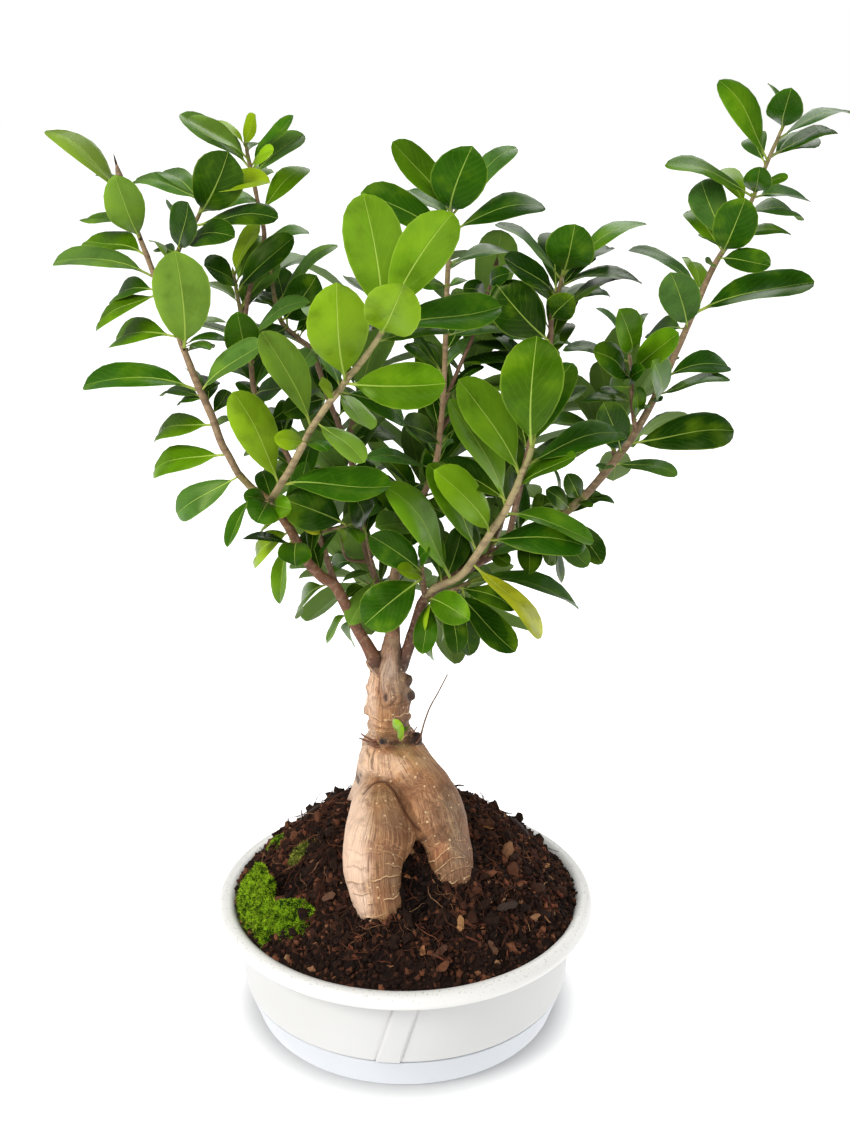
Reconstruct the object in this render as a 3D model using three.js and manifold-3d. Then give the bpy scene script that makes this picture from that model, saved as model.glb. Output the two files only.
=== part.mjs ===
// Ficus bonsai: a swollen two-legged rootstock with leafy shoots, planted in a round white pot on its saucer.
// Millimetres, +Z up. The origin is the centre of the saucer's underside and the front is -Y.

import * as THREE from 'three';
import { mergeVertices } from 'three/addons/utils/BufferGeometryUtils.js';
import Module from 'manifold-3d';

const wasm = await Module();
wasm.setup();

// Driving dimensions
const GAP = 0.3;
const ROUND_SEGMENTS = 40;

const SAUCER_FOOT_RADIUS = 80.5;
const SAUCER_RIM_RADIUS = 86.5;
const SAUCER_HEIGHT = 18.6;
const SAUCER_WALL = 2.6;
const SAUCER_FLOOR = 3;

const POT_RIM_RADIUS = 100;
const POT_RIM_HEIGHT = 66;
const POT_LIP_THICKNESS = 9;
const POT_MOUTH_RADIUS = 91.5;
const POT_SHOULDER_RADIUS = 90;
const POT_SKIRT_RADIUS = 87;
const POT_BELLY_RADIUS = 88.6;
const POT_BELLY_Z = 38;
const POT_SHOULDER_Z = 58.5;
const POT_FOOT_RADIUS = 77;
const POT_WALL = 3;
const POT_FLOOR = 4;
const DRAIN_HOLE_RADIUS = 7;

const RIB_WIDTH = 12.8;
const RIB_PROUD = 1.2;
const RIB_TOP_X = 2.1;
const RIB_BOTTOM_X = -8;
const RIB_TOP_Z = 56;

const SOIL_EDGE_Z = 63.5;
const SOIL_MOUND = 53.5;
const SOIL_RADIUS = 87.9;

const LEAF_LENGTH_MATURE = 36;
const LEAF_LENGTH_YOUNG = 22;
const LEAF_WIDTH_TO_LENGTH = 0.4;
const LEAF_HALF_THICKNESS = 0.8;
const LEAF_FOLD = 0.22;
const LEAF_ARCH = 0.07;
const PETIOLE_RADIUS = 0.8;
const PETIOLE_START = -0.06;
const PETIOLE_SHARE = 0.15;

// The crown's places are written as they look from the front: x and z where the sight line from this
// viewpoint meets the plane y = 0, then the depth behind that plane.
const VIEWPOINT = new THREE.Vector3(10.5, -707, 496);
const seen = ([x, z, depth]) =>
  VIEWPOINT.clone().lerp(new THREE.Vector3(x, 0, z), 1 - depth / VIEWPOINT.y);

// Stems, twigs and leaves
// A stem or twig is a list of [x, z, depth, radius].
// A leaf is [x, z of its place on the stem, x, z of its tip, depth change to the tip, width as seen].
// A spray is [first share, last share, leaves], a stretch of stem whose leaves stand in a spiral.
const SHOOTS = {
  left_branch: {
    stem: [
      [-12, 192, 0, 5.2], [-21, 212, -2, 3.9], [-28, 224, -3, 3.3], [-34, 238, -4, 3.1], [-41, 243.5, -5, 2.8],
      [-49, 253, -6, 2.6], [-57, 270, -7, 2.4], [-66, 283, -8, 2.1], [-74, 289.5, -6, 1.9], [-80.5, 297, -4, 1.7],
    ],
    leaves: [
      [-80, 296, -112, 276, 8, 14], [-65, 284, -73, 271.5, -24, 18], [-66, 284, -79, 286, -14, 9],
      [-64, 283, -55, 279, -20, 12], [-72, 287, -87.5, 259, -8, 5], [-59, 274, -69, 269, 10, 6],
      [-56, 268, -73, 251, 8, 8], [-52, 262, -54, 249, -24, 17], [-55, 265, -62.5, 229, -12, 6.5],
      [-37, 240, -51, 225, 8, 6], [-29, 224, -39.5, 208.5, 6, 4], [-27, 222, -26, 208, 8, 4.5],
      [-30, 231, -22, 239, 14, 7],
    ],
  },
  right_branch: {
    stem: [
      [1, 192, 1, 4.9], [5, 206, 2, 3.9], [8, 220, 2, 3.2], [10.5, 232, 1, 2.9], [24, 243, 8, 2.6],
      [40, 253, 14, 2.4], [58, 264, 18, 2.3], [72, 272, 20, 2.2], [80, 277.5, 20, 2.1], [88, 285, 20, 2.0],
    ],
    leaves: [
      [88, 284, 103.5, 282.5, 8, 3], [87, 284, 97, 287, 4, 3.5], [87, 284, 80, 297, -10, 10],
      [82, 279, 70, 289, -10, 9], [76, 275, 99, 250.5, -4, 12], [70, 271, 92, 249, -16, 12],
      [59, 265, 62.5, 245, -10, 12], [68, 270, 71.5, 249.5, -8, 6], [70, 271, 79, 240.5, 4, 3],
      [44, 256, 53, 250, -10, 8], [41, 254, 67, 261, -14, 7], [30, 247, 44, 245.5, 6, 5],
      [20, 240, 29, 270, 14, 13],
    ],
  },
  centre_shoot: {
    stem: [
      [-6.5, 194, 1, 4.4], [-6.5, 212, 3, 3.6], [-7, 228, 6, 2.8], [-4, 248, 10, 2.4], [3, 268, 14, 2.1],
      [10, 287, 17, 1.8], [16, 304, 18, 1.5], [18, 320, 18, 1.4], [19.5, 340, 17, 1.35], [20.3, 366, 12, 1.3],
      [21, 393, 6, 1.25], [22, 410, 2, 1.1], [22.5, 424, 0, 0.9],
    ],
    leaves: [
      [22.3, 421, -4.5, 453.5, -6, 14], [22.5, 422, 32, 451.5, -18, 25], [22.5, 420, 52, 451, 14, 9],
      [22, 413, 66, 424.5, 8, 10], [22, 408, -19, 431, -12, 14], [22.3, 418, 3, 432, 16, 8],
      [21.4, 398, 51, 403, 18, 4], [21.2, 395, 32, 401, 14, 2.5], [20.8, 387, 30, 391, 10, 3],
      [20.8, 388, 8, 388.5, -8, 6], [20.3, 365, 46.5, 368, 12, 7], [20, 348, 33, 364, 14, 7],
      [17, 312, 0, 322, -10, 9], [16.3, 306, 4, 319, 10, 8], [16.5, 305, 30, 317, 10, 10],
      [19.6, 346, 3, 361, 12, 10], [18, 322, 28, 330, 10, 5], [14, 300, -18, 304.5, -4, 5],
      [3, 268, -14, 270, -16, 10], [5, 272, 3, 260, -16, 10], [-6.8, 224, -9, 213.5, -10, 6],
      [12, 292, -6, 281, -10, 9], [9, 284, 21, 276, -12, 9],
    ],
  },
  left_leader: {
    stem: [
      [-80.5, 296.5, -4, 1.75], [-85, 306, -5, 1.85], [-88.5, 313, -5, 1.9], [-92, 325, -6, 1.9],
      [-96.3, 336, -6, 1.9], [-100, 346, -7, 1.8], [-104, 358, -8, 1.6], [-107, 367, -8, 1.45],
      [-112, 380, -8, 1.3], [-116, 393, -8, 1.3], [-119.5, 404, -8, 1.3], [-122.5, 413, -8, 1.1],
      [-126, 424, -8, 0.9], [-128.3, 434, -8, 0.8], [-129.3, 438, -8, 1.7], [-130.4, 443.5, -8, 0.5],
    ],
    leaves: [
      [-127.5, 429, -161.5, 458, 14, 6], [-127.5, 430, -138.5, 438.5, 16, 4], [-121.5, 410, -131.5, 438.5, -28, 18],
      [-123, 414, -146, 419, 34, 7], [-119, 402, -146.5, 409, 30, 11], [-116, 392, -163, 399, 6, 8.5],
      [-104, 358, -106, 405, -22, 27], [-114, 386, -134, 382.5, 26, 9], [-114, 385, -144.5, 367.5, 14, 5],
      [-106, 364, -136.5, 362, 32, 12.5], [-97, 338, -153.5, 340.5, 6, 11], [-96.5, 335, -115, 336.5, 20, 4],
      [-96, 334, -107.5, 332, 14, 3], [-93, 321, -119, 316, 28, 10], [-87, 306, -122, 298.5, 20, 12],
      [-94.5, 330, -97.5, 346, 16, 9], [-97, 337, -103.5, 349, 14, 3.5], [-104.5, 360, -81.5, 361.5, 12, 3],
      [-103.5, 357, -90.5, 361, 20, 4.5], [-107, 367, -84, 371.5, 20, 3], [-106.5, 366, -94, 372.5, 16, 3.5],
      [-96.5, 338, -66, 361, -12, 9], [-91, 320, -83, 325.5, 12, 5], [-93, 326, -84, 338.5, 18, 8],
      [-96.5, 337, -88, 342.5, 8, 3],
    ],
  },
  right_leader: {
    stem: [
      [88.5, 285.3, 20, 2.0], [98, 297, 20, 2.05], [108, 311, 19, 2.0], [117, 327, 18, 1.8], [127, 350, 17, 1.7],
      [136, 373, 15, 1.5], [145, 397, 14, 1.4], [155, 414, 13, 1.2], [161, 428, 12, 1.0], [168, 448, 12, 0.9],
      [173, 461, 12, 0.7],
    ],
    leaves: [
      [172.8, 459.5, 175, 476.5, -18, 16], [172, 458, 164.5, 478.5, 14, 2], [166.5, 445, 142, 480, 4, 12],
      [170.8, 454, 203, 466, 10, 3], [168.2, 447, 196.5, 457.5, 4, 5], [166.5, 443, 160, 456, 18, 12],
      [167.5, 446, 187, 455.5, 18, 10], [161.8, 430, 163.5, 443, -24, 13], [162.5, 432, 177, 437.5, -14, 3.5],
      [161.3, 428.5, 186, 427.5, 6, 5], [161.2, 429, 120, 443.5, 2, 5], [158, 423, 145, 441, 14, 10],
      [151, 408, 137, 436.5, 16, 17], [149, 404, 132, 423, 24, 10], [148.5, 403.5, 158, 429, -22, 20],
      [158.5, 421.5, 183, 419, 8, 5], [153, 410, 180, 412, 6, 3.5], [147.5, 401, 172, 397.5, -4, 11],
      [137, 375, 193, 390, -4, 12], [134.5, 369, 125, 395, -16, 19], [139.5, 384, 105, 405, 10, 3.5],
      [140, 385, 132, 400, 12, 6], [133.5, 368, 117, 366, 12, 8], [124.5, 343.5, 155.5, 350, 4, 11],
      [121, 336, 156.5, 343.5, 4, 3], [109, 312, 160, 318.5, 4, 18], [102.5, 302, 134, 296, -4, 6],
      [105.5, 308, 96, 333, -14, 16], [120.5, 335.5, 119, 353, -12, 7],
    ],
  },
  left_front_shoot: {
    stem: [
      [-65.5, 283, -9, 1.9], [-60, 292, -16, 1.8], [-55, 300, -22, 1.75], [-47, 315, -34, 1.65], [-43, 322, -40, 1.6],
      [-36, 332, -48, 1.55], [-31, 338, -53, 1.5], [-26, 345, -58, 1.45], [-20, 352, -63, 1.4], [-15, 359, -68, 1.3],
      [-11, 365, -72, 1.2], [-8, 370, -75, 1.0],
    ],
    leaves: [
      [-61, 291, -82, 338, -4, 20], [-44.5, 319.5, -67, 367, 6, 17], [-27.5, 343, -31, 389.5, -20, 29],
      [-10, 366.5, 1, 390, -34, 27], [-9, 368.5, -18, 430.5, 10, 28], [-8.5, 369.5, 23.5, 422, 4, 24],
      [-9.5, 367.5, 46.5, 378.5, 14, 16], [-28, 342, 20.5, 342, -8, 23], [-13, 362, 21, 368, 20, 8],
      [-31.5, 337.5, -15.5, 319, -18, 8], [-34, 335, -40.5, 341.5, -12, 5], [-31, 338, 0.5, 323, 16, 11],
      [-42, 323, -19, 302.5, -10, 11], [-27, 344, -46, 379, 22, 9], [-30, 339.5, -41, 357, 18, 6],
      [-48, 313.5, -62.5, 315.5, -16, 10], [-48, 313, -36.5, 308.5, -14, 5], [-60, 291.5, -6, 290.5, -18, 16],
    ],
  },
  right_front_shoot: {
    stem: [
      [11, 234, -1, 2.0], [17, 238.5, -7, 1.95], [24, 241.5, -13, 1.9], [30, 246, -19, 1.85], [36, 255, -26, 1.85],
      [42, 265, -33, 1.8], [47, 273, -39, 1.75], [50, 278, -43, 1.7], [53, 285, -47, 1.6], [56, 292, -51, 1.55],
      [58, 298, -54, 1.5], [61, 305, -57, 1.4], [62.5, 311, -60, 1.2],
    ],
    leaves: [
      [24, 241.5, -10, 291, -14, 14], [19, 239.5, 8, 272, 10, 10], [36.5, 256, 11.5, 302, -2, 16],
      [42.5, 266, 15, 299, -20, 16], [41, 262, 90.5, 259.5, -6, 17], [49.5, 277, 94, 262, 6, 9],
      [34, 251, 69, 210, -12, 9], [62.3, 310, 63.5, 364.5, -10, 30], [62, 308.5, 81, 352, 8, 17],
      [57, 295, 26, 344, -8, 20], [50.5, 279, 21.5, 334, 4, 15], [59, 300, 108, 317, 10, 12],
      [55, 289, 84.5, 306, -8, 7], [52, 282, 18, 303, 14, 14],
    ],
  },
  left_back_shoot: {
    stem: [
      [-34.5, 240, 0, 1.7], [-37, 248, 3, 1.6], [-39.5, 257, 5, 1.55], [-42.5, 267, 7, 1.5], [-47, 283, 10, 1.5],
      [-54, 301, 14, 1.45], [-63, 320, 18, 1.4], [-71, 337, 20, 1.35], [-72.5, 352, 22, 1.3], [-74.5, 366, 24, 1.2],
      [-77, 380, 26, 1.0], [-79, 394, 26, 0.8],
    ],
    twigs: [[[-42.5, 267, 7, 1.0], [-35, 269, 4, 0.95], [-27.5, 271, 1, 0.8]]],
    leaves: [
      [-28, 271, -59, 284, -10, 22], [-39, 268, -51, 270, -6, 8], [-31, 270, -44, 251, 8, 4],
      [-29, 271, -22, 261.5, -4, 4.5], [-72.5, 351, -78, 376, -18, 17], [-72, 341, -85, 352, 14, 9],
      [-70.5, 336, -55, 342, -6, 9], [-71, 338, -60, 356, 12, 9], [-77, 380, -91, 390, 8, 4.5],
      [-78, 388, -93, 398, -8, 9], [-78.5, 392, -67.5, 418, 12, 7], [-78, 389, -66.5, 411.5, 4, 9],
      [-77.5, 385, -50, 411, -10, 12], [-76.5, 378, -66, 394, 10, 9], [-76.5, 377, -59, 401, 16, 11],
      [-74, 362, -44, 381, -10, 5], [-65, 323, -55, 331, 10, 10], [-58, 309, -60, 330, 14, 12],
      [-50, 291, -62, 300, 12, 10],
    ],
  },
  left_top_shoot: {
    stem: [
      [-74.8, 371, 25, 1.2], [-72, 386, 27, 1.15], [-67, 400, 28, 1.1], [-64, 412, 28, 1.1], [-66, 424, 28, 1.05],
      [-68, 436, 28, 1.0], [-70, 446, 28, 0.9], [-71.2, 453.5, 28, 0.6],
    ],
    leaves: [
      [-71, 451, -86, 462, 8, 3], [-71, 452, -66, 465.5, -10, 5.5], [-70.5, 449, -65.5, 453, 10, 4],
      [-70, 445, -97, 463, -6, 6], [-69, 441, -100, 465.5, 12, 10], [-69, 442, -49, 465, 10, 4.5],
      [-68.5, 438, -45, 457, 14, 10], [-69, 441, -58, 450, -8, 4], [-65.5, 421, -43, 442, 12, 9],
      [-68, 437, -61, 441, 18, 6], [-64.5, 409, -43, 413, 8, 4],
    ],
  },
  left_twig_shoot: {
    stem: [
      [-110, 377, -6, 1.2], [-108, 392, 1, 1.15], [-104.5, 404, 5, 1.1], [-99, 413, 6, 1.05], [-94, 420.5, 6, 1.0],
      [-91.5, 428, 6, 0.7],
    ],
    leaves: [
      [-93.5, 421.5, -79, 449.5, -14, 24], [-104, 405, -98.5, 427, -14, 13], [-103.5, 406, -107, 426, 10, 7],
      [-103, 407, -78, 411, -12, 10], [-97, 416, -57, 419, -14, 8], [-93.5, 422, -68, 428, 12, 6],
      [-92, 425.5, -60.5, 435.5, -8, 6], [-92.5, 425, -110, 440, 12, 9], [-91.8, 427, -123, 436, 16, 6],
      [-105, 403, -112.5, 404.5, 12, 4], [-107, 397, -117, 409, 14, 2],
    ],
  },
  back_left_shoot: {
    stem: [
      [-7.5, 226, 7, 1.7], [-14, 242, 14, 1.6], [-19, 258, 20, 1.55], [-20.5, 275, 26, 1.5], [-23, 292, 30, 1.45],
      [-28, 312, 34, 1.4], [-36, 335, 37, 1.35], [-43, 357, 38, 1.3], [-50, 364, 38, 1.25], [-57, 371, 38, 1.2],
      [-60, 382, 38, 1.1], [-61.5, 396, 38, 0.9],
    ],
    twigs: [
      [[-17.5, 252, 18, 0.9], [-24, 252, 15, 0.8], [-29, 254, 12, 0.7], [-31, 262, 10, 0.6]],
      [[-14, 242, 14, 0.9], [-17, 256, 10, 0.8], [-18.5, 265, 8, 0.7]],
    ],
    leaves: [
      [-19.5, 268, -26, 287, -12, 13], [-20, 272, -11, 284, 12, 9], [-28, 312, -5, 316, 8, 9],
      [-61.2, 393, -47, 402.5, 8, 8], [-59.5, 380, -30, 407, 16, 3.5], [-57, 372, -40, 393.5, -8, 18],
      [-52, 366, -42, 375, 12, 9], [-44, 358, -50, 350, -10, 10], [-43, 357, -28, 354, -8, 10],
      [-59, 378, -70, 381.5, 10, 3.5], [-55, 369, -66, 364, -10, 9], [-36, 335, -58, 327, -10, 13],
      [-14, 243, -28, 218, -4, 12], [-24, 252, -36, 250, 8, 9], [-22, 287, -40, 300, 10, 13],
      [-32, 324, -20, 336, 10, 12],
    ],
  },
  inner_front_shoot: {
    stem: [[10.5, 233, -1, 1.6], [9.5, 241, -5, 1.4], [9, 248, -9, 1.1], [9.5, 254, -11, 0.7]],
    leaves: [
      [9.2, 246, -17, 265.5, -10, 17], [9.4, 243, -3.5, 247, -8, 7], [9.4, 243, -20, 218, -12, 24],
      [9, 249, 13, 258, -6, 5],
    ],
  },
  lower_right_shoot: {
    stem: [[10.5, 231, -1, 1.5], [17, 233, -6, 1.4], [25, 237, -10, 1.3], [33, 241, -12, 1.0]],
    leaves: [
      [29, 239, 88, 226.5, 6, 6], [26, 238, 56, 226, -8, 10], [24, 237, 56.5, 203, -12, 15],
      [13, 232, 33, 220.5, -24, 16], [14, 232, 10.5, 214.5, -14, 3], [12, 232, 9, 202, -8, 12],
      [16, 233, 14, 199.5, 2, 7], [20, 235, 27, 202, -6, 12], [29, 239, 33.5, 201, -2, 11],
      [17, 233, 18.5, 209, 6, 3], [31, 240, 42, 212, 8, 4],
    ],
  },
  right_inner_shoot: {
    stem: [
      [112.5, 319, 17, 1.2], [111, 326, 14, 1.1], [109.8, 336, 10, 1.05], [109.5, 346, 8, 1.0], [108, 354, 6, 0.9],
      [107, 358.5, 5, 0.6],
    ],
    leaves: [
      [109.5, 340, 99, 340.5, 8, 9], [110, 334, 94, 338, -6, 2.5], [111.3, 324, 111.5, 340, -8, 5],
      [110, 333, 86, 333, 8, 3.5], [109.5, 347, 131, 366.5, -12, 13], [109.5, 347, 129, 353.5, 6, 5],
      [109.6, 343, 90, 357.5, -6, 12], [108.3, 352, 76, 358.5, 8, 4], [107.3, 357, 102, 377.5, -14, 12],
      [107.5, 356, 113.5, 374, 10, 7], [107.5, 356, 91, 378, 8, 2], [109.7, 340, 115.5, 349, -8, 4.5],
    ],
  },
  centre_right_shoot: {
    stem: [
      [51, 260, 17, 1.7], [56, 285, 20, 1.6], [62, 315, 20, 1.5], [67, 342, 18, 1.4], [70, 362, 16, 1.3],
      [70, 371, 14, 1.25], [71.5, 381, 12, 1.15], [74, 389, 10, 1.1], [75, 395, 9, 0.8],
    ],
    leaves: [
      [75, 393.5, 80, 417.5, -18, 23], [75, 394, 113, 417, 10, 5], [74.5, 391, 97, 406, 10, 9],
      [73.5, 387.5, 112, 389.5, 8, 4], [72, 382.5, 95.5, 384, 10, 5], [70.3, 373, 80, 383.5, -16, 14],
      [72, 383, 47, 401.5, -4, 10], [71, 379, 46, 397.5, 6, 3], [74.3, 391, 43, 417, 6, 2.5],
      [70, 362, 44, 389, -8, 24], [69.5, 359, 46, 367, 8, 9], [68, 348, 27, 351.5, 10, 3.5],
      [66.5, 340, 38, 354, 10, 8], [65, 332, 38, 341, 10, 7], [69.5, 359, 79.5, 361, 10, 6],
      [62.3, 317, 91.5, 321, 14, 5], [59, 300, 81, 314, 6, 9],
    ],
  },
  centre_small_shoot: {
    stem: [
      [19, 331, 18, 1.1], [27, 350, 22, 1.0], [35, 369, 24, 0.95], [40, 385, 23, 0.9], [43, 395, 22, 0.8],
      [43.8, 398, 22, 1.5], [44, 401, 22, 0.4],
    ],
    leaves: [[40, 386, 28, 387.5, -6, 9], [41.5, 389, 50.5, 394.5, -6, 8]],
  },
  rear_right_shoot: {
    stem: [[42, 254.5, 16, 1.6], [45, 263, 34, 1.5], [49, 275, 52, 1.4], [50, 288, 68, 1.2], [47, 300, 82, 0.8]],
    spray: [0.3, 1, 9],
  },
  rear_centre_shoot: {
    stem: [[3, 268, 16, 1.6], [6, 277, 34, 1.5], [9, 286, 52, 1.4], [11, 295, 70, 1.2], [11, 302, 86, 0.8]],
    spray: [0.25, 1, 9],
  },
  rear_left_shoot: {
    stem: [[-21, 276, 28, 1.5], [-26, 284, 44, 1.4], [-33, 293, 60, 1.3], [-40, 301, 74, 1.1], [-45, 308, 86, 0.8]],
    spray: [0.2, 1, 9],
  },
  rear_high_left_shoot: {
    stem: [[-27, 308, 35, 1.4], [-24, 326, 50, 1.3], [-20, 345, 62, 1.2], [-15, 364, 72, 1.0], [-10, 382, 80, 0.7]],
    spray: [0.25, 1, 9],
  },
  rear_high_right_shoot: {
    stem: [[18, 318, 20, 1.3], [25, 332, 38, 1.2], [31, 346, 54, 1.1], [35, 358, 66, 1.0], [37, 368, 76, 0.7]],
    spray: [0.3, 1, 8],
  },
  rear_outer_right_shoot: {
    stem: [[103, 304.5, 21, 1.3], [102, 310, 36, 1.2], [100, 317, 50, 1.1], [99, 325, 62, 0.8]],
    spray: [0.35, 1, 6],
  },
  rear_low_right_shoot: {
    stem: [[8, 222, 5, 1.5], [14, 225, 22, 1.4], [22, 230, 40, 1.2], [29, 238, 56, 0.8]],
    spray: [0.35, 1, 6],
  },
  rear_low_left_shoot: {
    stem: [[-7, 229, 8, 1.5], [-12, 234, 24, 1.4], [-18, 242, 42, 1.2], [-24, 252, 58, 0.8]],
    spray: [0.35, 1, 6],
  },
};
const LEAF_BRANCH_ORDER = Object.keys(SHOOTS);

const SPRAY_TURN = THREE.MathUtils.degToRad(137.5);
const SPRAY_LEAF_LENGTH = 46;
const SPRAY_LEAF_SPREAD = 8;
const SPRAY_OUTWARD = 0.8;
const SPRAY_ONWARD = 0.4;
const SPRAY_UPWARD = 0.2;

// The rootstock's limbs, each a list of [x, z, depth, radius], and its knobs, [x, z, depth, radius].
const ROOTSTOCK_LIMBS = [
  [[-9, 199, 1, 7.8], [-8.8, 190, 1, 9.8], [-8.3, 182, 1, 11.2], [-8.5, 174, 1, 11.4], [-8.4, 165, 1, 10.2],
    [-8.4, 158, 1, 11.4], [-7, 151, 1, 14.6], [-6.8, 144, 1, 17.4], [-7.6, 135, 3, 17.6], [-8.6, 124, 6, 16]],
  [[-9, 150, 0, 12], [-11, 136, -8, 13.2], [-13, 124, -17, 13.4], [-14, 112, -27, 14.2], [-14.5, 100, -36, 16.4],
    [-16.8, 88, -43, 15.9], [-17.5, 77, -48.5, 14.8], [-16.5, 67, -52, 13.6], [-14.5, 58, -53.5, 12], [-12.5, 48, -53, 10], [-12, 38, -52, 7]],
  [[-8, 114, -25, 12], [-2.5, 102, -33, 9.4], [-4.5, 93, -38, 8.4], [-9, 84, -42, 8]],
  [[-1, 150, 0, 9.5], [3.5, 139, -6, 11.6], [9.5, 127, -13, 13.8], [16, 114, -20, 14.2], [19.8, 104, -27, 13.1],
    [21.6, 96, -31, 12.3], [23.5, 86, -36, 11.7], [25.4, 78, -38.5, 10.4], [26.2, 71, -39, 8.8], [27, 60, -39, 6.5]],
  [[-11, 140, 4, 14], [-15, 126, 12, 13], [-21, 112, 24, 11], [-26, 97, 36, 8]],
  [[2, 134, 6, 14], [12, 118, 20, 11.5], [20, 103, 33, 8]],
];
const ROOTSTOCK_KNOBS = [
  [3.2, 178, 0, 3.4], [2.6, 186, 1, 2.4], [-10, 153, -12, 4.2], [6, 155, -4, 3.6], [-20, 153, -2, 3],
  [-20.5, 170, 0, 2.6], [-13.5, 205, 2, 2.6], [-13, 198, 2, 5.4],
];

// Small growths on the rootstock: a green sprout at the graft and a dry wiry stalk
const SPROUT_STEM = [[-2.4, 154.5, -14.5, 0.9], [-1.6, 157, -16.5, 0.7]];
const SPROUT_LEAVES = [[-2, 156, -0.5, 165.5, -3, 6], [-2, 156, 5, 163, 3, 2.4]];
const STALK = [[8.3, 155.5, -4.5, 0.5], [10, 163, -5, 0.45], [13, 172, -6, 0.4], [17.5, 181, -7, 0.35], [22, 190.5, -8, 0.3]];

// Moss cushions on the soil: [x, y, half length, half width, height, turn in degrees]
const MOSS_CUSHIONS = {
  moss_rim_cushion: [-76, -24, 24, 10, 9, 107],
  moss_inner_cushion: [-60, -45, 15, 10, 8, 126],
  moss_small_tuft: [-71, 20, 8, 5, 5, 105],
  moss_olive_tuft: [-52, -14, 7, 5, 4, 20],
};

// Bark and wood chips on the soil: [x, y, length, width, thickness, turn in degrees]
const CHIPS = [
  [28, -66, 8, 3.4, 1.6, 100], [18, -78, 9, 3.2, 1.8, 60], [-38, -52, 8, 4, 1.6, 10], [52, -50, 14, 4, 2, 30],
  [-52, 22, 17, 5, 2.2, 35], [62, 18, 15, 6, 2.6, -30], [-38, 40, 16, 4, 2.2, 15], [44, -70, 8, 3, 1.6, -50],
];

// Materials
function surface(color, roughness, metalness = 0) {
  return new THREE.MeshStandardMaterial({ color, roughness, metalness });
}
const glazedWhite = surface(0xf0efec, 0.35);
const saucerWhite = surface(0xe9eef6, 0.4);
const darkPeat = surface(0x37261e, 0.95);
const mossGreen = surface(0x5f8a1e, 0.95);
const rootBark = surface(0xc09a70, 0.8);
const twigBark = surface(0x7d5a48, 0.85);
const leafGreen = surface(0x3f7020, 0.4);
const chipWood = surface(0x8a6246, 0.85);

// Solids: a closed geometry becomes a solid for joining and cutting, and comes back as a geometry.
function toSolid(geometry) {
  const bare = geometry.clone();
  bare.deleteAttribute('normal');
  bare.deleteAttribute('uv');
  const welded = mergeVertices(bare, 1e-4);
  const corners = welded.index.array;
  const kept = [];
  for (let i = 0; i < corners.length; i += 3) {
    const [a, b, c] = [corners[i], corners[i + 1], corners[i + 2]];
    if (a !== b && b !== c && c !== a) kept.push(a, b, c);
  }
  return new wasm.Manifold(new wasm.Mesh({
    numProp: 3,
    vertProperties: new Float32Array(welded.attributes.position.array),
    triVerts: new Uint32Array(kept),
  }));
}

function toGeometry(solid) {
  const mesh = solid.getMesh();
  const geometry = new THREE.BufferGeometry();
  geometry.setAttribute('position', new THREE.BufferAttribute(new Float32Array(mesh.vertProperties), 3));
  geometry.setIndex(new THREE.BufferAttribute(new Uint32Array(mesh.triVerts), 1));
  geometry.computeVertexNormals();
  return geometry;
}

const joined = (solids) => solids.reduce((whole, solid) => whole.add(solid));

// What a cut leaves loose is dropped: the largest body stays.
function largestBody(solid) {
  return solid.decompose().reduce((largest, body) => (body.volume() > largest.volume() ? body : largest));
}

function boxesMeet(first, second) {
  const a = first.boundingBox();
  const b = second.boundingBox();
  return [0, 1, 2].every((k) => a.min[k] < b.max[k] && b.min[k] < a.max[k]);
}

function cutBy(solid, cutters) {
  return cutters.filter((cutter) => boxesMeet(solid, cutter)).reduce((left, cutter) => left.subtract(cutter), solid);
}

// A ring of profile points turned about the Z axis
function turned(profile, segments = ROUND_SEGMENTS) {
  const geometry = new THREE.LatheGeometry(profile.map(([r, z]) => new THREE.Vector2(r, z)), segments);
  return geometry.rotateX(Math.PI / 2);
}

// A stem: a cylinder whose rings are laid along the rows, one ring for each row
function limb(rows, sides, grow = 0) {
  const places = rows.map(seen);
  const radii = rows.map((row) => row[3] + grow);
  const last = rows.length - 1;
  places[0].addScaledVector(places[0].clone().sub(places[1]).normalize(), grow);
  places[last].addScaledVector(places[last].clone().sub(places[last - 1]).normalize(), grow);
  const geometry = new THREE.CylinderGeometry(1, 1, last, sides, last);
  const position = geometry.attributes.position;
  let side = new THREE.Vector3(1, 0, 0);
  const frames = places.map((place, k) => {
    const along = places[Math.min(k + 1, last)].clone().sub(places[Math.max(k - 1, 0)]).normalize();
    side = side.clone().addScaledVector(along, -side.dot(along)).normalize();
    return { along, side, across: side.clone().cross(along) };
  });
  for (let i = 0; i < position.count; i += 1) {
    const k = Math.round(position.getY(i) + last / 2);
    const { side: u, across: v } = frames[k];
    const point = places[k].clone();
    point.addScaledVector(u, position.getX(i) * radii[k]).addScaledVector(v, position.getZ(i) * radii[k]);
    position.setXYZ(i, point.x, point.y, point.z);
  }
  return toSolid(geometry);
}

function knob([x, z, depth, radius], grow = 0) {
  const ball = new THREE.SphereGeometry(radius + grow, 8, 6);
  const centre = seen([x, z, depth]);
  return toSolid(ball.translate(centre.x, centre.y, centre.z));
}

// The leaf's outline: [share of its length, half width as a share of the width, is it blade]
const LEAF_OUTLINE = [
  [PETIOLE_START, 0, false], [PETIOLE_SHARE, 1, false], [0.48, 0.5, true], [0.8, 0.41, true], [1, 0, true],
];

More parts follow.
